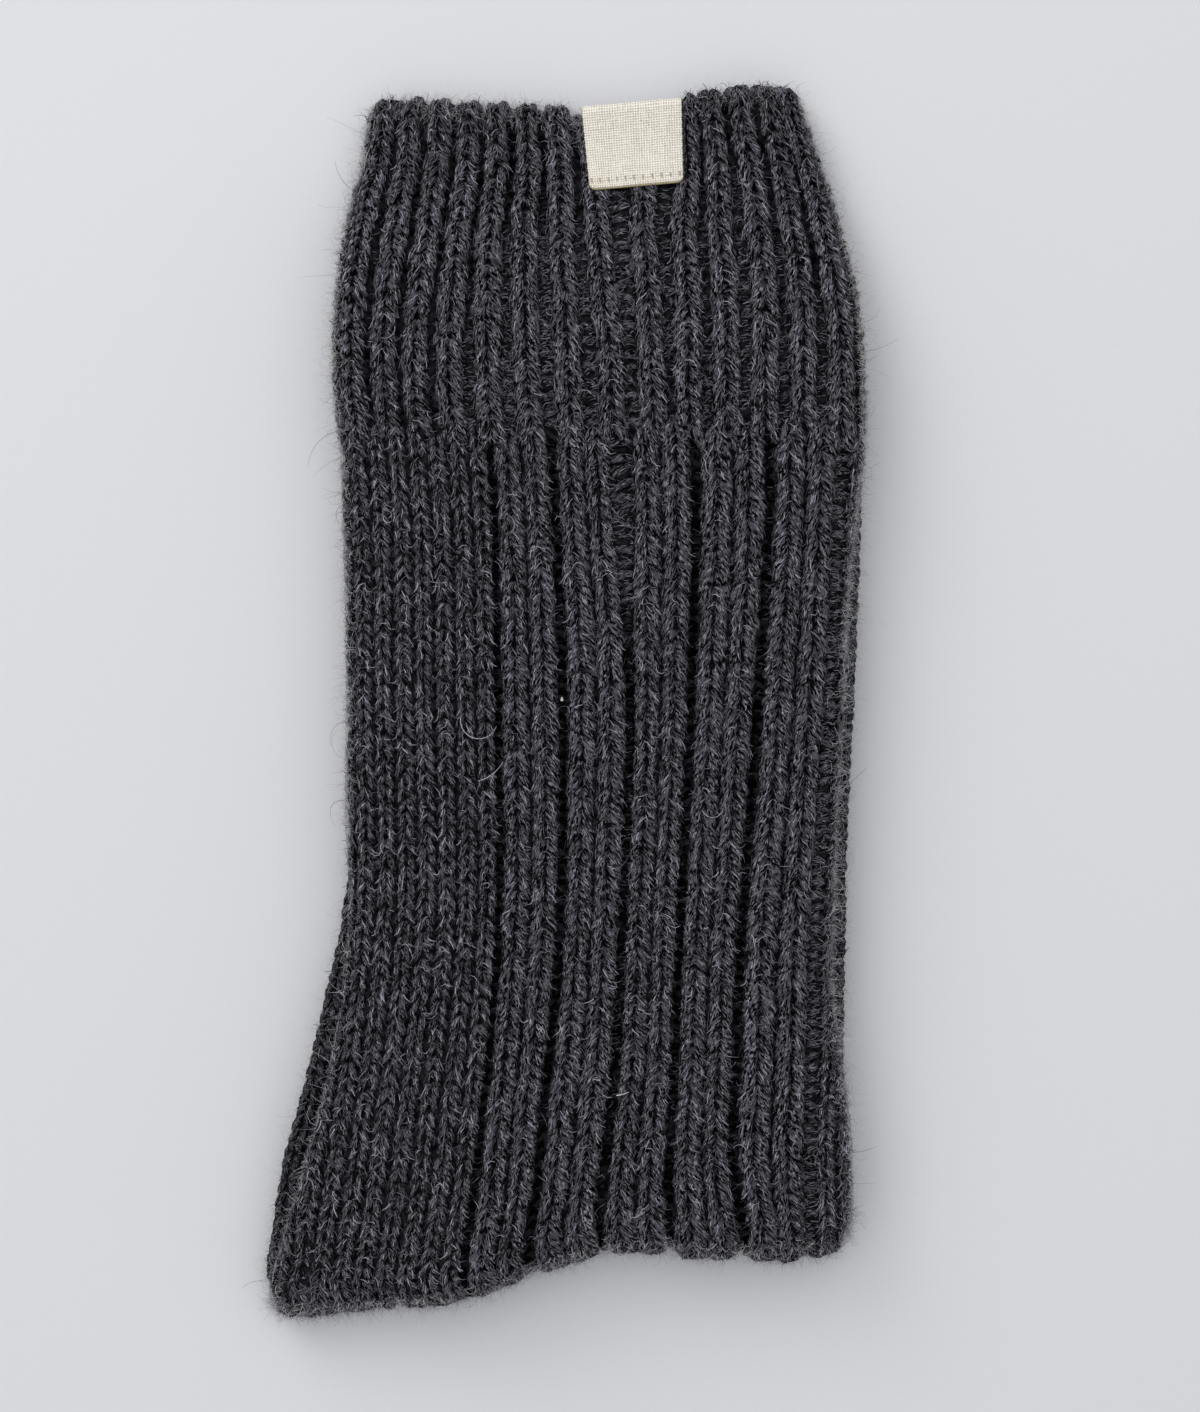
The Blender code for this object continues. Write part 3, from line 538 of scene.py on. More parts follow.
def column(tube, lines, half, first, last, pitch, rng, lift=0.0):
    """The legs of one column of stitches along a line of q, from one place down the sock to another."""
    count = int((last - first) / pitch)
    down = first + (last - first) * (np.arange(count) + 0.5 + rng.uniform(-0.09, 0.09, count)) / count
    q = np.interp(down, tube.downs, lines)
    legs = np.zeros(2 * count, dtype=[(name, float) for name in LEG.split()])
    legs["down"] = np.repeat(down, 2) + rng.normal(0.0, 0.12, 2 * count)
    legs["q"] = np.repeat(q, 2)
    legs["slope"] = np.repeat(np.interp(down, tube.downs, np.gradient(lines, tube.downs)), 2)
    wide = half if np.isscalar(half) else np.interp(down, tube.downs, half)
    legs["half"] = np.repeat(wide * np.ones(count), 2) * rng.uniform(0.90, 1.08, 2 * count)
    legs["pitch"] = (last - first) / count
    legs["side"] = np.tile([-1.0, 1.0], count)
    legs["lift"] = lift + rng.normal(0.0, 0.10, 2 * count)
    legs["turn"] = rng.normal(0.0, 0.10, 2 * count)
    legs["dye"] = np.round(rng.uniform(0.0, 400.0, 2 * count), 2)
    legs["relief"] = 1.0 - 0.8 * smooth((legs["down"] - tube.fold_start + 2.0) / 9.0)
    return legs


def strand(tube, legs, u, v):
    """A point on a stitch's leg. U runs from -1 at its narrow upper end to 1 at the wide lower one, and v
    round its upper half from 0 to pi: a spindle that slants outwards and sinks at both ends."""
    legs = legs.reshape(legs.shape + (1,) * (np.ndim(u) - 1 if np.ndim(u) > 1 else 0))
    girth = STRAND_GIRTH * legs["half"] * (1.0 - 0.28 * u * u)
    along = (0.20 + 0.21 * legs["half"]) * legs["pitch"] * u
    slant = STRAND_TOP + STRAND_SLANT * u
    across = legs["side"] * legs["half"] * slant + legs["turn"] * along + girth * np.cos(v)
    height = legs["relief"] * (0.20 - 0.60 * u * u) + (0.25 + 0.90 * legs["relief"]) * girth * np.sin(v)
    height = height + legs["lift"]
    down = legs["down"] + along - 0.45 * girth * np.cos(v) * legs["side"]
    point, normal = tube.at(down, legs["q"] + legs["slope"] * along + across / tube.girth(down))
    return point + height[..., None] * normal


def from_crease(points):
    """How far points are from the heel's crease, seen from above."""
    return off_line(points[..., 0], points[..., 1], *CREASES[0][:4])


def sink_in_crease(tube, legs):
    """Legs on the heel's crease are pinched into it, so that it stays a dark line."""
    middle = legs["q"] + 0.5 * legs["side"] * legs["half"] / tube.girth(legs["down"])
    legs["lift"] -= 0.7 * smooth(1.5 - from_crease(tube.at(legs["down"], middle)[0]))
    return legs


def knit(name, tube, columns, finish, rows=5, sides=5):
    """All the legs of some columns as one piece: half spindles on the cloth, their undersides left open."""
    legs = np.concatenate(columns)
    u = np.linspace(-1.0, 1.0, rows)[None, :, None]
    v = np.linspace(np.pi, 0.0, sides)[None, None, :]
    points = strand(tube, legs, u + 0.0 * v, v + 0.0 * u)
    dye = legs["dye"][:, None, None]
    along = u * legs["pitch"][:, None, None] + dye + 0.0 * v
    across = v + np.mod(dye * 7.3, 50.0) + 0.0 * u
    uv = np.stack([along, across], -1)
    # the height in the cloth, which the yarn's finish turns into painted shade, and the dye's random shade
    place = np.stack([np.sin(v) * (1.0 - 0.45 * u * u) + 0.0 * along, np.mod(dye, 1.0) + 0.0 * along], -1)
    return make_piece(name, points, patches(len(legs), rows, sides), finish, uv, place), legs


def under_label(points, beside):
    """Which points lie under the label on the front, or this near beside it."""
    x, y, z = np.moveaxis(points, -1, 0)
    return (x > 2.9 - beside) & (x < 24.1 + beside) & (y > 102.3 + 0.09 * (x - 13.5)) & (z > 6.0)


def press_down(tube, legs):
    """The label lies on these stitches: those under it are pressed flatter."""
    middle = legs["q"] + 0.6 * legs["side"] * legs["half"] / tube.girth(legs["down"])
    legs["lift"] -= 0.55 * under_label(tube.at(legs["down"], middle)[0], 1.0)
    return legs


rng = np.random.default_rng(11)
rows_y = RIM_Y - upper.downs
cuff_shares = ridge_shares(np.clip(rows_y, 60.0, 120.0))
cuff_lines = [upper.line(row) for row in cuff_shares]
spread_of = np.gradient(cuff_shares, axis=0)
widths = read(UPPER_LEG, "right", rows_y) - read(UPPER_LEG, "left", rows_y)
cuff_last = RIM_Y - CUFF_END + 1.5
columns = []
for k, lines in enumerate(cuff_lines):
    half = np.clip(0.455 * widths * spread_of[k], 2.5, 3.15)
    columns.append(column(upper, lines, half, -6.0 + rng.uniform(-1, 1), cuff_last + rng.uniform(-0.5, 3.0),
                          CUFF_PITCH, rng, 0.05))
for offset in (-6.3, -1.7, 1.7, 6.3):
    lines = (offset / upper.girths) + (1.0 if offset > 0 else 0.0)
    columns.append(column(upper, lines, 2.4, -6.0, cuff_last, CUFF_PITCH, rng, 0.0))
columns = [press_down(upper, legs) for legs in columns]
cuff_stitches, cuff_legs = knit("cuff_stitches", upper, columns, yarn)

# Below the cuff: two columns on each rib, then the plain panel's, which run on over the left edge.
low_y = np.minimum(rows_y, LEG_START)
leg_left, leg_right = read(UPPER_LEG, "left", low_y), read(UPPER_LEG, "right", low_y)
valleys = np.array([read(LEG_VALLEYS, name, low_y) for name in LEG_VALLEYS.dtype.names[1:]])
valley_lines = [upper.line((row - leg_left) / (leg_right - leg_left)) for row in valleys]
leg_first, leg_last = RIM_Y - CUFF_END + 2.0, upper.fold_start + 0.62 * (upper.fold_end - upper.fold_start)
open_valley = smooth((upper.downs - 60.0) / 5.0) * (1.0 - smooth((upper.downs - 78.0) / 34.0))
apart = 1.25 * open_valley / upper.girths  # the third valley lies open just below the cuff
columns = []
for k in range(5):
    a, b = valley_lines[k] + (k == 2) * apart, valley_lines[k + 1] - (k == 1) * apart
    half = (0.232 + 0.020 * smooth((upper.downs - upper.fold_start + 6.0) / 10.0)) * (b - a) * upper.girths
    for share in (0.285, 0.715):
        columns.append(column(upper, a + share * (b - a), half, leg_first + rng.uniform(-3.5, -0.5), leg_last,
                              LEG_PITCH, rng, 0.0))
rib_stitches, rib_legs = knit("rib_stitches", upper, columns, yarn)

columns = []
breadth = 4.05 + 0.5 * smooth((upper.downs - 150.0) / 90.0)
for k in range(10):
    lines = valley_lines[0] - (0.35 + (k + 0.5) * breadth) / upper.girths
    half = (0.50 + 0.06 * smooth((upper.downs - upper.fold_start + 6.0) / 10.0)) * breadth
    legs = column(upper, lines, half, leg_first + rng.uniform(-3.5, -0.5), leg_last, LEG_PITCH, rng, 0.0)
    columns.append(sink_in_crease(upper, legs))
for k in range(3):
    lines = valley_lines[5] + (3.6 + 4.2 * k) / upper.girths
    columns.append(column(upper, lines, 2.15, leg_first, leg_last, LEG_PITCH, rng, 0.0))
plain_stitches, plain_legs = knit("plain_stitches", upper, columns, yarn)


# Between the ribs the yarn lies the other way round: a ladder of short bars, deep in each valley and darkened
# there with painted shade, most in the narrow valleys.
def bars(name, tube, bar, finish, rows=4, sides=5):
    """Short arched bars across a line of q: half tubes that bow down the sock and sink at both ends."""
    u = np.linspace(0.0, np.pi, rows)[None, :, None]
    v = np.linspace(-1.0, 1.0, sides)[None, None, :]
    half, turn = bar["half"][:, None, None], bar["turn"][:, None, None]
    thick = 0.45 * bar["pitch"][:, None, None] * (1.0 - 0.25 * v * v)
    along = -thick * np.cos(u) + 0.45 * (v * v) + turn * half * v
    height = bar["lift"][:, None, None] - 0.35 + 0.30 * (1.0 - v * v) + 0.9 * thick * np.sin(u)
    q = bar["q"][:, None, None] + (half * v) / tube.girth(bar["down"])[:, None, None] + 0.0 * u
    point, normal = tube.at(bar["down"][:, None, None] + along, q)
    dye = bar["dye"][:, None, None]
    uv = np.stack(np.broadcast_arrays(half * v + dye, u * thick + np.mod(dye * 7.3, 50.0)), -1)
    # painted shade: the narrower a bar, the lower the height it carries, so its finish paints it darker
    painted_valley_light = np.clip(1.1 * bar["half"] - 0.85, 0.15, 1.0)[:, None, None]
    place = np.stack(np.broadcast_arrays(np.sin(u) * (0.9 - 0.4 * v * v) * painted_valley_light, np.mod(dye, 1.0)), -1)
    points = point + height[..., None] * normal
    return make_piece(name, points, patches(len(bar), rows, sides), finish, uv, place)


columns = []
wide_valley = 1.1 + 1.7 * open_valley
for k, lines in enumerate(valley_lines):
    half = {2: wide_valley, 5: 1.7}.get(k, 1.0)
    lift = -0.1 if k in (2, 5) else -0.3
    columns.append(column(upper, lines, half, leg_first, leg_last, LEG_PITCH, rng, lift))
for a, b in zip(cuff_lines[:-1], cuff_lines[1:]):
    room = (b - a) * upper.girths / 2.0 - 2.4
    for side in (-1.0, 1.0) if room.mean() > 1.6 else (0.0,):
        half = np.clip(room * (1.0 if side == 0.0 else 0.6), 0.9, 2.4)
        lines = (a + b) / 2.0 + side * 0.5 * np.maximum(room, 0.0) / upper.girths
        bar = column(upper, lines, half, -5.0 + 0.6 * side, cuff_last - 1.0 + 0.6 * side, CUFF_PITCH, rng,
                     -0.4 if room.mean() > 1.2 else -0.75)
        columns.append(press_down(upper, bar))
valley_bars = np.concatenate(columns)[::2]
valley_bars["turn"] *= 3.5
valley_bars["lift"] += rng.normal(0.0, 0.18, len(valley_bars))
purl_bars = bars("purl_bars", upper, valley_bars, yarn)


# ------------------------------------------------------------------ stitches at the rims, the edges and below
# The same stitches, seen only from the side: round the pair's edges, over both rims, and on the foot that
# the pair lies on.

columns = []
for q in np.linspace(1.09, 1.91, 13):
    columns.append(column(upper, 0.0 * upper.downs + q, 2.5, -6.5, 8.0, CUFF_PITCH, rng, 0.0))
foot_first, foot_last = leg_last - 1.0, upper.downs[-1] - 4.0
for q in np.linspace(0.025, 0.975, 21):
    columns.append(column(upper, 0.0 * upper.downs + q, 2.4, foot_first, foot_last, 2.8, rng, -0.35))
for offset in (-6.0, -2.0, 2.0, 6.0):
    lines = (offset / upper.girths) + (1.0 if offset > 0 else 0.0)
    columns.append(column(upper, lines, 2.0, leg_last - 8.0, foot_last, 2.6, rng, -0.2))
edge_stitches, _ = knit("edge_stitches", upper, columns, yarn, 4, 4)

columns = []
for edge, offsets in ((0.0, (-6.0, -2.0, 2.0, 6.0, 10.0)), (1.0, (-6.0, -2.0, 2.0, 6.0))):
    for offset in offsets:
        lines = edge + offset / lower.girths
        columns.append(column(lower, lines, 2.15, 1.0, lower.downs[-1] - 8.0, 2.4, rng, 0.1))
for legs in columns:
    legs["relief"] = 0.4
for q in np.linspace(0.035, 1.965, 30):
    columns.append(column(lower, 0.0 * lower.downs + q, 2.5, -6.0, 8.0, CUFF_PITCH, rng, 0.0))
shaded_yarn = yarn_finish("charcoal_yarn_in_shade", (0.006, 0.006, 0.008, 1.0), (0.062, 0.061, 0.071, 1.0),
                          (0.15, 0.15, 0.17, 1.0))
lower_stitches, lower_legs = knit("lower_sock_stitches", lower, columns, shaded_yarn, 4, 4)


# ------------------------------------------------------------------ the label
# A plain strip of unbleached cotton tape in a fine weave, folded over the rim and sewn through with one row
# of small stitches near its lower end.

LABEL_MIDDLE, LABEL_HALF = (13.55, 120.3), 10.1
LABEL_DROP, LABEL_INNER_DROP, LABEL_THICK, LABEL_SOFT = 17.5, 12.9, 0.55, 0.9
LABEL_TURN, LABEL_LEAN = np.radians(5.3), np.radians(1.8)
LABEL_ROWS, SEAM_WAY = 96, 1.75  # points round the tape, and the seam's place above its lower end


def label_path():
    """The tape's run as along, out pairs: up the front, a quarter turn, over, a quarter turn and down."""
    turn = np.radians(np.linspace(0.0, 90.0, 9))
    centre = -LABEL_THICK - LABEL_SOFT
    top, inside = 3.5, 0.35
    front = np.stack([np.linspace(-LABEL_DROP, centre - 0.3, 60), 0.0 * np.arange(60) + top], 1)
    up = np.stack([centre + LABEL_SOFT * np.sin(turn), top - LABEL_SOFT * (1.0 - np.cos(turn))], 1)
    down = np.stack([centre + LABEL_SOFT * np.cos(turn), inside + LABEL_SOFT * (1.0 - np.sin(turn))], 1)
    back = np.stack([np.linspace(centre - 0.3, -LABEL_INNER_DROP, 20), 0.0 * np.arange(20) + inside], 1)
    path = np.concatenate([front, up, down, back])
    run = np.gradient(path, axis=0)
    run /= np.linalg.norm(run, axis=1, keepdims=True)
    way = np.concatenate([[0.0], np.cumsum(np.linalg.norm(np.diff(path, axis=0), axis=1))])
    return path, np.stack([-run[:, 1], run[:, 0]], 1), way


def on_label(share, way, lift):
    """A point on the tape: share from -1 to 1 across it, the way in mm up from its lower end, lift off its
    inner face. It sags a little between the ridges under it, and its seam draws it in."""
    path, out, ways = label_path()
    corner = np.clip((np.abs(share) - 0.86) / 0.14, 0.0, 1.0)
    way = way + 1.3 * (1.0 - np.sqrt(1.0 - corner**2)) * np.clip(1.0 - way / 4.0, 0.0, 1.0)
    along, height = (np.interp(way, ways, path[:, i]) for i in (0, 1))
    a, b = (np.interp(way, ways, out[:, i]) for i in (0, 1))
    rising = np.clip(way / 3.0, 0.0, 1.0) * np.clip((17.5 - way) / 2.0, 0.0, 1.0)
    sag = 0.13 * np.cos(share * 8.9 + 0.8) * rising + 0.10 * np.sin(share * 5.0 + way * 0.35) * rising
    seam = 0.16 * np.exp(-(((way - SEAM_WAY) / 0.45) ** 2)) * (way < 6.0)
    lift = lift + sag - seam - 0.25 * np.clip(1.0 - way / 1.2, 0.0, 1.0) ** 2
    ragged = 0.05 * np.sin(way * 9.0 + 3.0 * share) + 0.04 * np.sin(way * 23.0)
    across = (LABEL_HALF + ragged) * share
    across = across - np.where(share < 0.0, 1.1, 0.2) * np.clip(1.0 - way / 16.0, 0.0, 1.0) * share
    along, height = along + a * lift, height + b * lift
    x = LABEL_MIDDLE[0] + across * np.cos(LABEL_TURN) - along * np.sin(LABEL_LEAN)
    y = LABEL_MIDDLE[1] + across * np.sin(LABEL_TURN) + along * np.cos(LABEL_LEAN)
    drop = FEET_TOP * smooth((y - DROP_START) / (DROP_END - DROP_START))
    return press(np.stack([x, y, LEG_HEIGHT - drop + height], -1))


tape = Finish("label_cotton", {"Roughness": 0.9, "Specular IOR Level": 0.15})
along, across = tape.carried("yarn")
way, edge = tape.carried("place")
slub = tape.noise(tape.vector(across * 2.4, along * 0.35), 1.0, 3.0, 0.6)
slub_too = tape.noise(tape.vector(across * 0.35, along * 2.4 + 9.0), 1.0, 3.0, 0.6)
warp = tape.maths("SINE", (across + slub_too * 0.25) * (6.2832 / 0.52))
weft = tape.maths("SINE", (along + slub * 0.25) * (6.2832 / 0.50))
weave = (warp + weft) * 0.5
cotton = tape.mix(tape.spread(weave + (slub - 0.5) * 1.5 + (slub_too - 0.5) * 1.5, -0.75, 0.15),
                  (0.60, 0.51, 0.38, 1.0), (0.96, 0.92, 0.83, 1.0))
# painted shade: dark ticks where the seam's thread goes into the tape, the shade in its needle holes
needle = tape.maths("PINGPONG", across + along * 0.12 - 0.2, 0.941)
needle_hole_shade = tape.spread(needle, 0.34, 0.10) * tape.spread(tape.maths("ABSOLUTE", along - 1.85), 0.66, 0.42)
cotton = tape.mix(needle_hole_shade * 0.6, cotton, (0.22, 0.20, 0.13, 1.0))
# painted shade: the tape's lower end, where it bends down into the cloth, turns brown
cotton = tape.mix(tape.spread(way + slub * 0.5, 0.95, 0.15), cotton, (0.34, 0.25, 0.09, 1.0))
cotton = tape.mix(tape.spread(edge + slub_too * 0.06, 0.985, 1.03) * 0.4, cotton, (0.50, 0.42, 0.30, 1.0))
tape.feed(cotton, weave * 0.7 + slub * 0.5 + slub_too * 0.5, 0.9, 0.00022)

_, _, ways = label_path()
share = np.sin(np.linspace(-np.pi / 2.0, np.pi / 2.0, LABEL_ROWS // 2 + 1))
share = np.concatenate([share, share[-2:0:-1]])
upper_half = np.where(np.arange(LABEL_ROWS) <= LABEL_ROWS // 2, 1.0, -1.0)
way = np.concatenate([[0.0, 0.08, 0.2], np.linspace(0.35, ways[-1] - 0.3, 94), [ways[-1] - 0.1, ways[-1]]])
thick = np.sqrt(np.clip(np.minimum(way, ways[-1] - way) / 0.35, 0.0, 1.0) * 0.96 + 0.04)[:, None]
lift = LABEL_THICK / 2.0 * (1.0 + upper_half * thick * np.sqrt(1.0 - np.abs(share) ** 40 + 1e-9))
points = on_label(share[None, :], way[:, None], lift)
uv = np.stack(np.broadcast_arrays(way[:, None], share * LABEL_HALF), -1)
place = np.stack(np.broadcast_arrays(way[:, None], np.abs(share)), -1)
faces = np.concatenate([patches(1, *points.shape[:2], True)[0], close_ends(*points.shape[:2])])
label = make_piece("label_tape", points, faces, tape, uv, place)
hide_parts("label")

# The seam: ten short stitches of cream thread, each sunk into the tape at both ends.
thread = Finish("cream_thread", {"Roughness": 0.7, "Specular IOR Level": 0.2})
along, across = thread.carried("yarn")
twist = thread.maths("SINE", (along * 3.0 + across) * 6.2832)
thread.feed(thread.mix(thread.spread(twist, -1.0, 1.0), (0.56, 0.47, 0.34, 1.0), (0.84, 0.78, 0.66, 1.0)),
            twist, 0.6, 0.0001)
stitch = np.linspace(-0.86, 0.86, 10)[:, None, None]
u = np.linspace(-1.0, 1.0, 7)[None, :, None]
v = np.linspace(0.0, 2.0 * np.pi, 6, endpoint=False)[None, None, :]
thin = 0.13 * np.sqrt(1.05 - u * u)
share = stitch + (u * 0.68) / LABEL_HALF + 0.0 * v
lift = LABEL_THICK + 0.08 * (1.0 - u**4) - 0.07 + thin * np.sin(v)
points = on_label(share, SEAM_WAY + 0.12 * u + thin * np.cos(v), lift)
uv = np.stack(np.broadcast_arrays(u * 0.62, v / 6.2832 + 0.0 * u + 0.0 * stitch), -1)
seam = make_piece("label_seam", points, patches(10, 7, 6, True), thread, uv)


# ------------------------------------------------------------------ the fuzz
# Cashmere and wool shed a down of fine curly fibres: short ones lie on every strand and follow it, longer
# ones stand off the edges as a halo. They are knitted in with the yarn, and some are paler than the rest; the
# halo's are painted up to a pale grey, as a painted highlight of the light they catch at the edges.

down_finish = Finish("loose_fibres", {"Roughness": 0.9, "Specular IOR Level": 0.02})
away, _ = down_finish.carried("yarn")
_, tone = down_finish.carried("place")
dull, mid, pale = ((g, 0.98 * g, 1.13 * g, 1.0) for g in (0.004, 0.116, 0.34))
# painted highlight: the palest grey, for fibres that stand off the edges and catch the light there, and for
# the speck of lint
edge_highlight_and_lint_silver = (0.60, 0.59, 0.57, 1.0)
fibre_grey = down_finish.mix(down_finish.spread(tone, 0.25, 0.55), dull, mid)
fibre_grey = down_finish.mix(down_finish.spread(tone, 0.7, 1.0), fibre_grey, pale)
fibre_grey = down_finish.mix(down_finish.spread(tone, 1.0, 2.0), fibre_grey, edge_highlight_and_lint_silver)
uneven = down_finish.noise(down_finish.vector(away * 2.0, tone * 90.0), 1.0)
down_finish.feed(fibre_grey, uneven, 0.3, 0.00005)


def unit(vectors):
    return vectors / (np.linalg.norm(vectors, axis=-1, keepdims=True) + 1e-9)


def fibres(name, root, ahead, up, length, bend, lift, width, tone, points=4):
    """Curved ribbons: from its root each fibre follows an arc of its own bend, in the plane of ahead and the
    side, rises along up by its lift, and narrows to its tip. None goes below the table."""
    ahead = unit(ahead)
    side = unit(np.cross(up, ahead))
    t = np.linspace(0.0, 1.0, points)[None, :, None]
    length, bend, lift, width = (np.asarray(a)[:, None, None] for a in (length, bend, lift, width))
    bend = np.where(np.abs(bend) < 0.05, 0.05, bend)
    path = root[:, None] + length * np.sin(bend * t) / bend * ahead[:, None]
    path = path + length * (1.0 - np.cos(bend * t)) / bend * side[:, None] + lift * t**1.5 * up[:, None]
    path[..., 2] = np.maximum(path[..., 2], 0.1)
    broad = unit(np.cross(np.gradient(path, axis=1), up[:, None])) * width * (1.0 - 0.6 * t * t) / 2.0
    corners = np.stack([path - broad, path + broad], 2)
    uv = np.stack(np.broadcast_arrays(t * length, np.array([0.0, 1.0])[None, None, :]), -1)
    place = np.stack(np.broadcast_arrays(t + 0.0 * uv[..., 0], tone[:, None, None]), -1)
    return make_piece(name, corners, patches(len(root), points, 2), down_finish, uv, place)


def lay(name, root, along, up, longest, rng, tone):
    """Fibres that lie on the cloth: most keep near the way along their strand, some cross it or stand up."""
    count = len(root)
    stray = rng.random(count) < 0.14
    turn = rng.normal(0.15, np.where(stray, 1.1, 0.20)) + np.pi * (rng.random(count) < 0.5)
    ahead = along * np.cos(turn)[:, None] + np.cross(up, along) * np.sin(turn)[:, None]
    length = rng.uniform(0.8, longest, count)
    lift = np.where(stray, rng.uniform(0.1, 0.8, count), rng.uniform(-0.05, 0.15, count))
    bend = rng.normal(0.0, np.where(stray, 1.9, 0.8))
    width = rng.uniform(0.10, 0.20, count) * np.where(stray, 0.7, 1.0)
    kept = ~under_label(root, 0.3) & (from_crease(root) > 0.45)
    parts = (root + 0.03 * up, ahead, up, length, bend, lift, width, tone)
    return fibres(name, *(part[kept] for part in parts), 3)


def strand_fibres(name, tube, legs, count, rng, longest=2.3, brightest=1.15):
    """Fibres rooted anywhere on the stitches' legs, with painted shade: darker in the grooves beside a leg's
    crown than on it.
    """
    legs = legs[rng.integers(0, len(legs), count)]
    u, v = rng.uniform(-0.85, 0.85, count), rng.uniform(0.35, 2.8, count)
    root = strand(tube, legs, u, v)
    along = unit(strand(tube, legs, u + 0.08, v) - root)
    round_it = unit(strand(tube, legs, u, v - 0.12) - root)
    up = unit(np.cross(round_it, along))
    up *= np.sign(np.sum(up * tube.at(legs["down"], legs["q"])[1], -1, keepdims=True))
    # painted shade: the lower a fibre's root on its leg, the darker its tone
    crown = 0.10 + 0.98 * np.sin(v) * (1.0 - 0.45 * u * u)
    tone = rng.uniform(0.0, brightest, count) * crown + 0.2 * (np.mod(legs["dye"], 1.0) - 0.5)
    return lay(name, root, along, up, longest, rng, np.maximum(tone, 0.0))


# The cuff's and ribs' fibres reach a little less pale than the plain panel's: painted shade against the
# stronger light that falls there.
cuff_fuzz = strand_fibres("cuff_fuzz", upper, cuff_legs, 17000, rng, 2.3, 1.08)
rib_fuzz = strand_fibres("rib_fuzz", upper, rib_legs, 24000, rng, 2.3, 1.07)
plain_fuzz = strand_fibres("plain_fuzz", upper, plain_legs, 25000, rng)
# The lower sock's fibres are painted darker than the upper one's: painted shade from the upper sock that lies
# over it.
lower_fuzz = strand_fibres("lower_sock_fuzz", lower, lower_legs, 8000, rng, 2.0, 0.6)

# The same down in the valleys, where it bridges from bar to bar. Narrow ones have less, and their fibres are
# painted darker as painted shade.
count = 8000
breadth = np.clip(0.9 * valley_bars["half"] - 0.4, 0.3, 1.0)
bar = valley_bars[rng.choice(len(valley_bars), count, p=breadth / breadth.sum())]
bar_q = bar["q"] + rng.uniform(-1.2, 1.2, count) * bar["half"] / upper.girth(bar["down"])
root, normal = upper.at(bar["down"] + rng.uniform(-1.3, 1.3, count), bar_q)
across = unit(upper.at(bar["down"], bar["q"] + 0.01)[0] - upper.at(bar["down"], bar["q"])[0])
root = root + rng.uniform(0.3, 0.8, (count, 1)) * normal
tone = rng.uniform(0.0, 0.85, count) * np.clip(1.1 * bar["half"] - 0.65, 0.35, 1.0)
valley_fuzz = lay("valley_fuzz", root, across, normal, 2.0, rng, tone)


def halo(name, tube, down, q, longest, rng, points=4, tone=(1.1, 2.0), broad=(0.035, 0.07), curl=1.8):
    """Fibres that stand off an edge: they leave along the cloth's normal, turned at random, and curl."""
    root, normal = tube.at(down, q)
    count = len(down)
    ahead = unit(normal + rng.normal(0.0, 0.55, (count, 3)))
    up = unit(np.cross(ahead, rng.normal(0.0, 1.0, (count, 3))))
    length = 0.8 + longest * rng.random(count) ** 3.0
    return fibres(name, root + 0.3 * normal, ahead, up, length + 0.6, rng.normal(0.0, curl, count),
                  rng.normal(0.0, 0.5, count), rng.uniform(*broad, count), rng.uniform(*tone, count), points)


count = 14000
side = rng.integers(0, 2, count)
q = side + rng.normal(0.0, 0.011, count)
down = rng.uniform(-2.0, upper.fold_end, count)
thinned = (side == 0) & (down > 145.0) & (down < upper.fold_start) & (rng.random(count) < 0.7)
edge_halo = halo("edge_halo", upper, down[~thinned], q[~thinned], 4.5, rng, 4, (0.7, 2.0))
count = 5600
rim_halo = halo("rim_halo", upper, rng.normal(-1.0, 1.6, count), rng.uniform(0.0, 2.0, count), 3.0, rng, 4,
                (1.0, 2.1), (0.04, 0.08))
count = 5200
place_down = upper.fold_start + rng.uniform(4.0, 17.0, count)
fold_halo = halo("fold_halo", upper, place_down, rng.uniform(0.0, 1.0, count), 2.6, rng, 4, (0.8, 2.0),
                 (0.04, 0.08))
count = 6500
q = rng.integers(0, 2, count) + rng.normal(0.0, 0.012, count)
place_down = rng.uniform(0.0, lower.fold_end, count)
lower_halo = halo("lower_sock_halo", lower, place_down, q, 3.2, rng, 4, (1.0, 2.1))

# Along the upper sock's side edges the down is thick and painted pale, as a painted highlight: short fibres
# stand off, others lie flat.
count = 5600
side = rng.integers(0, 2, count)
reach = np.where(rng.random(count) < 0.15, upper.fold_start, np.where(side == 0, 150.0, 112.0))
down = reach * rng.random(count)
edge_down = halo("edge_down", upper, down, side + rng.normal(0.0, 0.006, count), 0.5, rng, 3, (1.3, 2.2),
                 (0.05, 0.09))
count = 2600
q = rng.integers(0, 2, count) + rng.normal(0.0, 0.006, count)
place_down = rng.uniform(60.0, upper.fold_start + 4.0, count)
root, normal = upper.at(place_down, q)
along = unit(upper.at(place_down + 1.0, q)[0] - root)
edge_fringe = lay("edge_fringe", root + 1.1 * normal, along, normal, 2.2, rng, rng.uniform(0.3, 1.5, count))

# A few fibres have come loose: long pale curls that stand away from the cloth.
count = 400
edge_q = rng.integers(0, 2, count) + rng.normal(0.0, 0.012, count)
q = np.where(rng.random(count) < 0.7, edge_q, rng.random(count))
long_curls = halo("long_curls", upper, rng.uniform(-2.0, upper.fold_end, count), q, 9.0, rng, 9, (0.3, 1.0),
                   (0.07, 0.11), 2.8)
count = 600
place_down = rng.uniform(0.0, upper.fold_start, count)
front_curls = halo("front_curls", upper, place_down, rng.random(count), 3.0, rng, 7, (0.5, 1.3), (0.05, 0.08),
                   2.8)

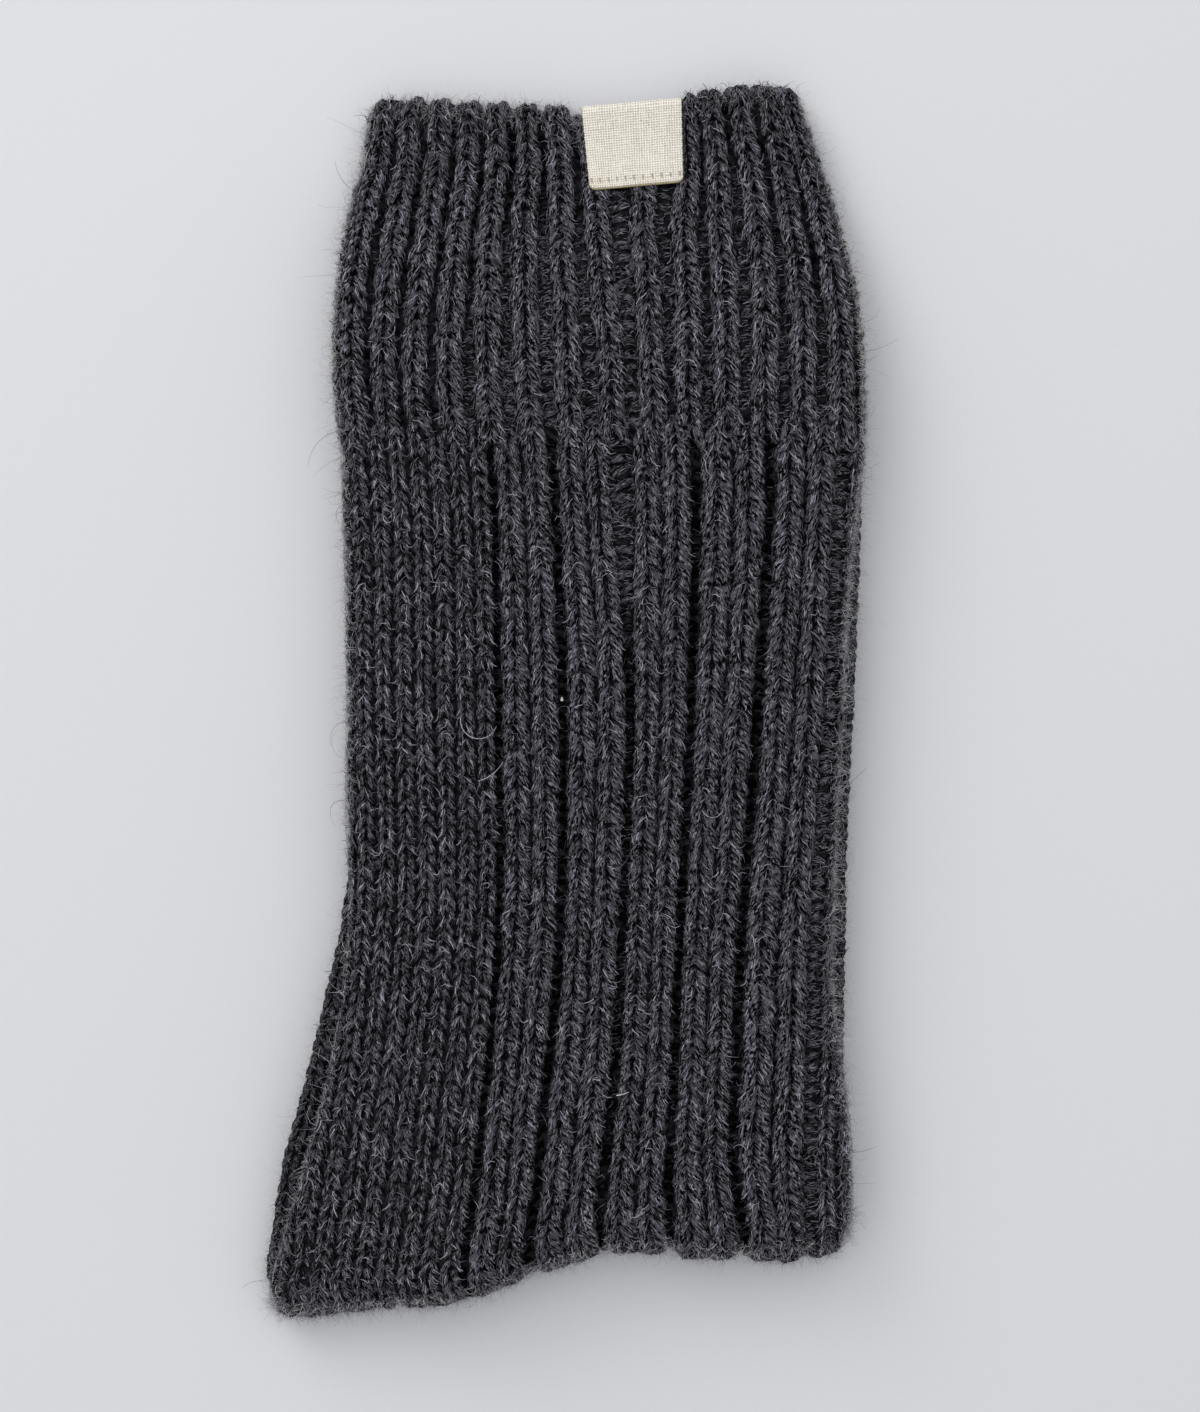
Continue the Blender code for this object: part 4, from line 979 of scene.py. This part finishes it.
# Single hairs and one speck of lint, each at its own place. The way is in degrees from the right.
HAIRS = table(
    "x y way length bend width tone",
    (-0.4, -0.3, 80.0, 0.8, 0.3, 0.50, 2.2), (-20.4, -3.5, -100.0, 11.0, 3.0, 0.14, 1.3),
    (-17.0, -16.2, 15.0, 6.5, 0.8, 0.13, 1.4), (-43.4, -46.5, -60.0, 5.0, 3.6, 0.12, 1.3),
    (10.4, -84.5, 5.0, 2.6, 0.4, 0.20, 1.7), (-10.5, 33.0, 40.0, 5.0, 2.4, 0.11, 1.1),
    (27.5, -22.0, -70.0, 5.5, 2.6, 0.12, 1.2), (36.0, -96.0, 70.0, 4.0, 3.0, 0.11, 1.1),
    (-33.5, 74.0, -80.0, 4.5, -2.2, 0.11, 1.1), (5.5, 60.5, 120.0, 4.5, 2.8, 0.12, 1.2),
    (-42.5, 53.5, 175.0, 12.0, 1.6, 0.11, 0.8), (-39.8, 101.0, 165.0, 10.0, -1.2, 0.10, 0.7),
    (-24.0, 119.5, 80.0, 4.5, 2.6, 0.12, 0.5), (-22.5, 119.5, 110.0, 4.0, -2.8, 0.12, 0.5),
    (55.0, -40.0, 10.0, 7.0, 4.2, 0.10, 0.7), (55.8, -62.0, -20.0, 8.0, -2.2, 0.10, 0.7),
)
place_down = RIM_Y - HAIRS["y"]
fronts = upper.points[np.searchsorted(upper.downs, place_down), : upper.COLUMNS + 1, 0]
even = np.linspace(0.0, 1.0, upper.COLUMNS + 1)
q = np.array([np.interp(x, row, even) for x, row in zip(HAIRS["x"], fronts)])
root, normal = upper.at(place_down, q)
way = np.radians(HAIRS["way"])
ahead = np.stack([np.cos(way), np.sin(way), 0.0 * way], -1)
up = np.tile([0.0, 0.0, 1.0], (len(HAIRS), 1))
lift = 0.4 + 0.0 * way
hairs = fibres("single_hairs", root + 1.4 * up, ahead, up, HAIRS["length"], HAIRS["bend"], lift,
               HAIRS["width"], HAIRS["tone"], 12)


# ------------------------------------------------------------------ the table, the light and the camera
# The pair lies on a plain pale table under broad soft light from above, a little from the upper left.

floor_finish = Finish("pale_table", {"Roughness": 0.7, "Specular IOR Level": 0.2})
where = floor_finish.node("TexCoord", {}, {}, 3)
grain = floor_finish.noise(where, 900.0, 3.0, 0.5)
plain = floor_finish.mix(grain, (0.665, 0.665, 0.683, 1.0), (0.685, 0.685, 0.703, 1.0))
floor_finish.feed(plain, grain, 0.05, 0.0001)
TABLE_REACH, TABLE_TOP = 9.0, -0.0002
corners = [(a * TABLE_REACH, b * TABLE_REACH, TABLE_TOP) for a, b in ((-1, -1), (1, -1), (1, 1), (-1, 1))]
mesh = bpy.data.meshes.new("table")
mesh.from_pydata(corners, [], [(0, 1, 2, 3)])
mesh.materials.append(floor_finish.material)
table_top = bpy.data.objects.new("table", mesh)
bpy.context.scene.collection.objects.link(table_top)

world = bpy.data.worlds.new("studio")
bpy.context.scene.world = world
world.use_nodes = True
world.node_tree.nodes["Background"].inputs["Color"].default_value = (0.94, 0.96, 1.0, 1.0)
world.node_tree.nodes["Background"].inputs["Strength"].default_value = 0.50


def softbox(name, place, size, power, colour):
    """A square area light that faces the pair."""
    light = bpy.data.lights.new(name, "AREA")
    light.shape, light.size, light.energy, light.color = "SQUARE", size, power, colour
    lamp = bpy.data.objects.new(name, light)
    lamp.location = place
    lamp.rotation_euler = (-Vector(place)).to_track_quat("-Z", "Y").to_euler()
    bpy.context.scene.collection.objects.link(lamp)


softbox("window", (-0.75, 1.0, 0.85), 0.8, 7.5, (1.0, 0.99, 0.975))
softbox("ceiling", (-0.1, 0.3, 1.2), 1.0, 3.6, (0.985, 0.99, 1.0))
softbox("sky", (0.0, 0.0, 5.0), 10.0, 120.0, (0.97, 0.985, 1.0))
bpy.context.scene.view_settings.view_transform = "Standard"

VIEW_HEIGHT, DISTANCE, PAIR_TOP, FILM = 0.2824, 0.62, 0.014, 36.0  # FILM is in millimetres
camera = bpy.data.cameras.new("camera")
camera.sensor_fit, camera.sensor_height = "VERTICAL", FILM
camera.lens = FILM * DISTANCE / VIEW_HEIGHT
camera.clip_start = 0.01
eye = bpy.data.objects.new("camera", camera)
eye.location = (0.00724, -0.00101, DISTANCE + PAIR_TOP)
bpy.context.scene.collection.objects.link(eye)
bpy.context.scene.camera = eye

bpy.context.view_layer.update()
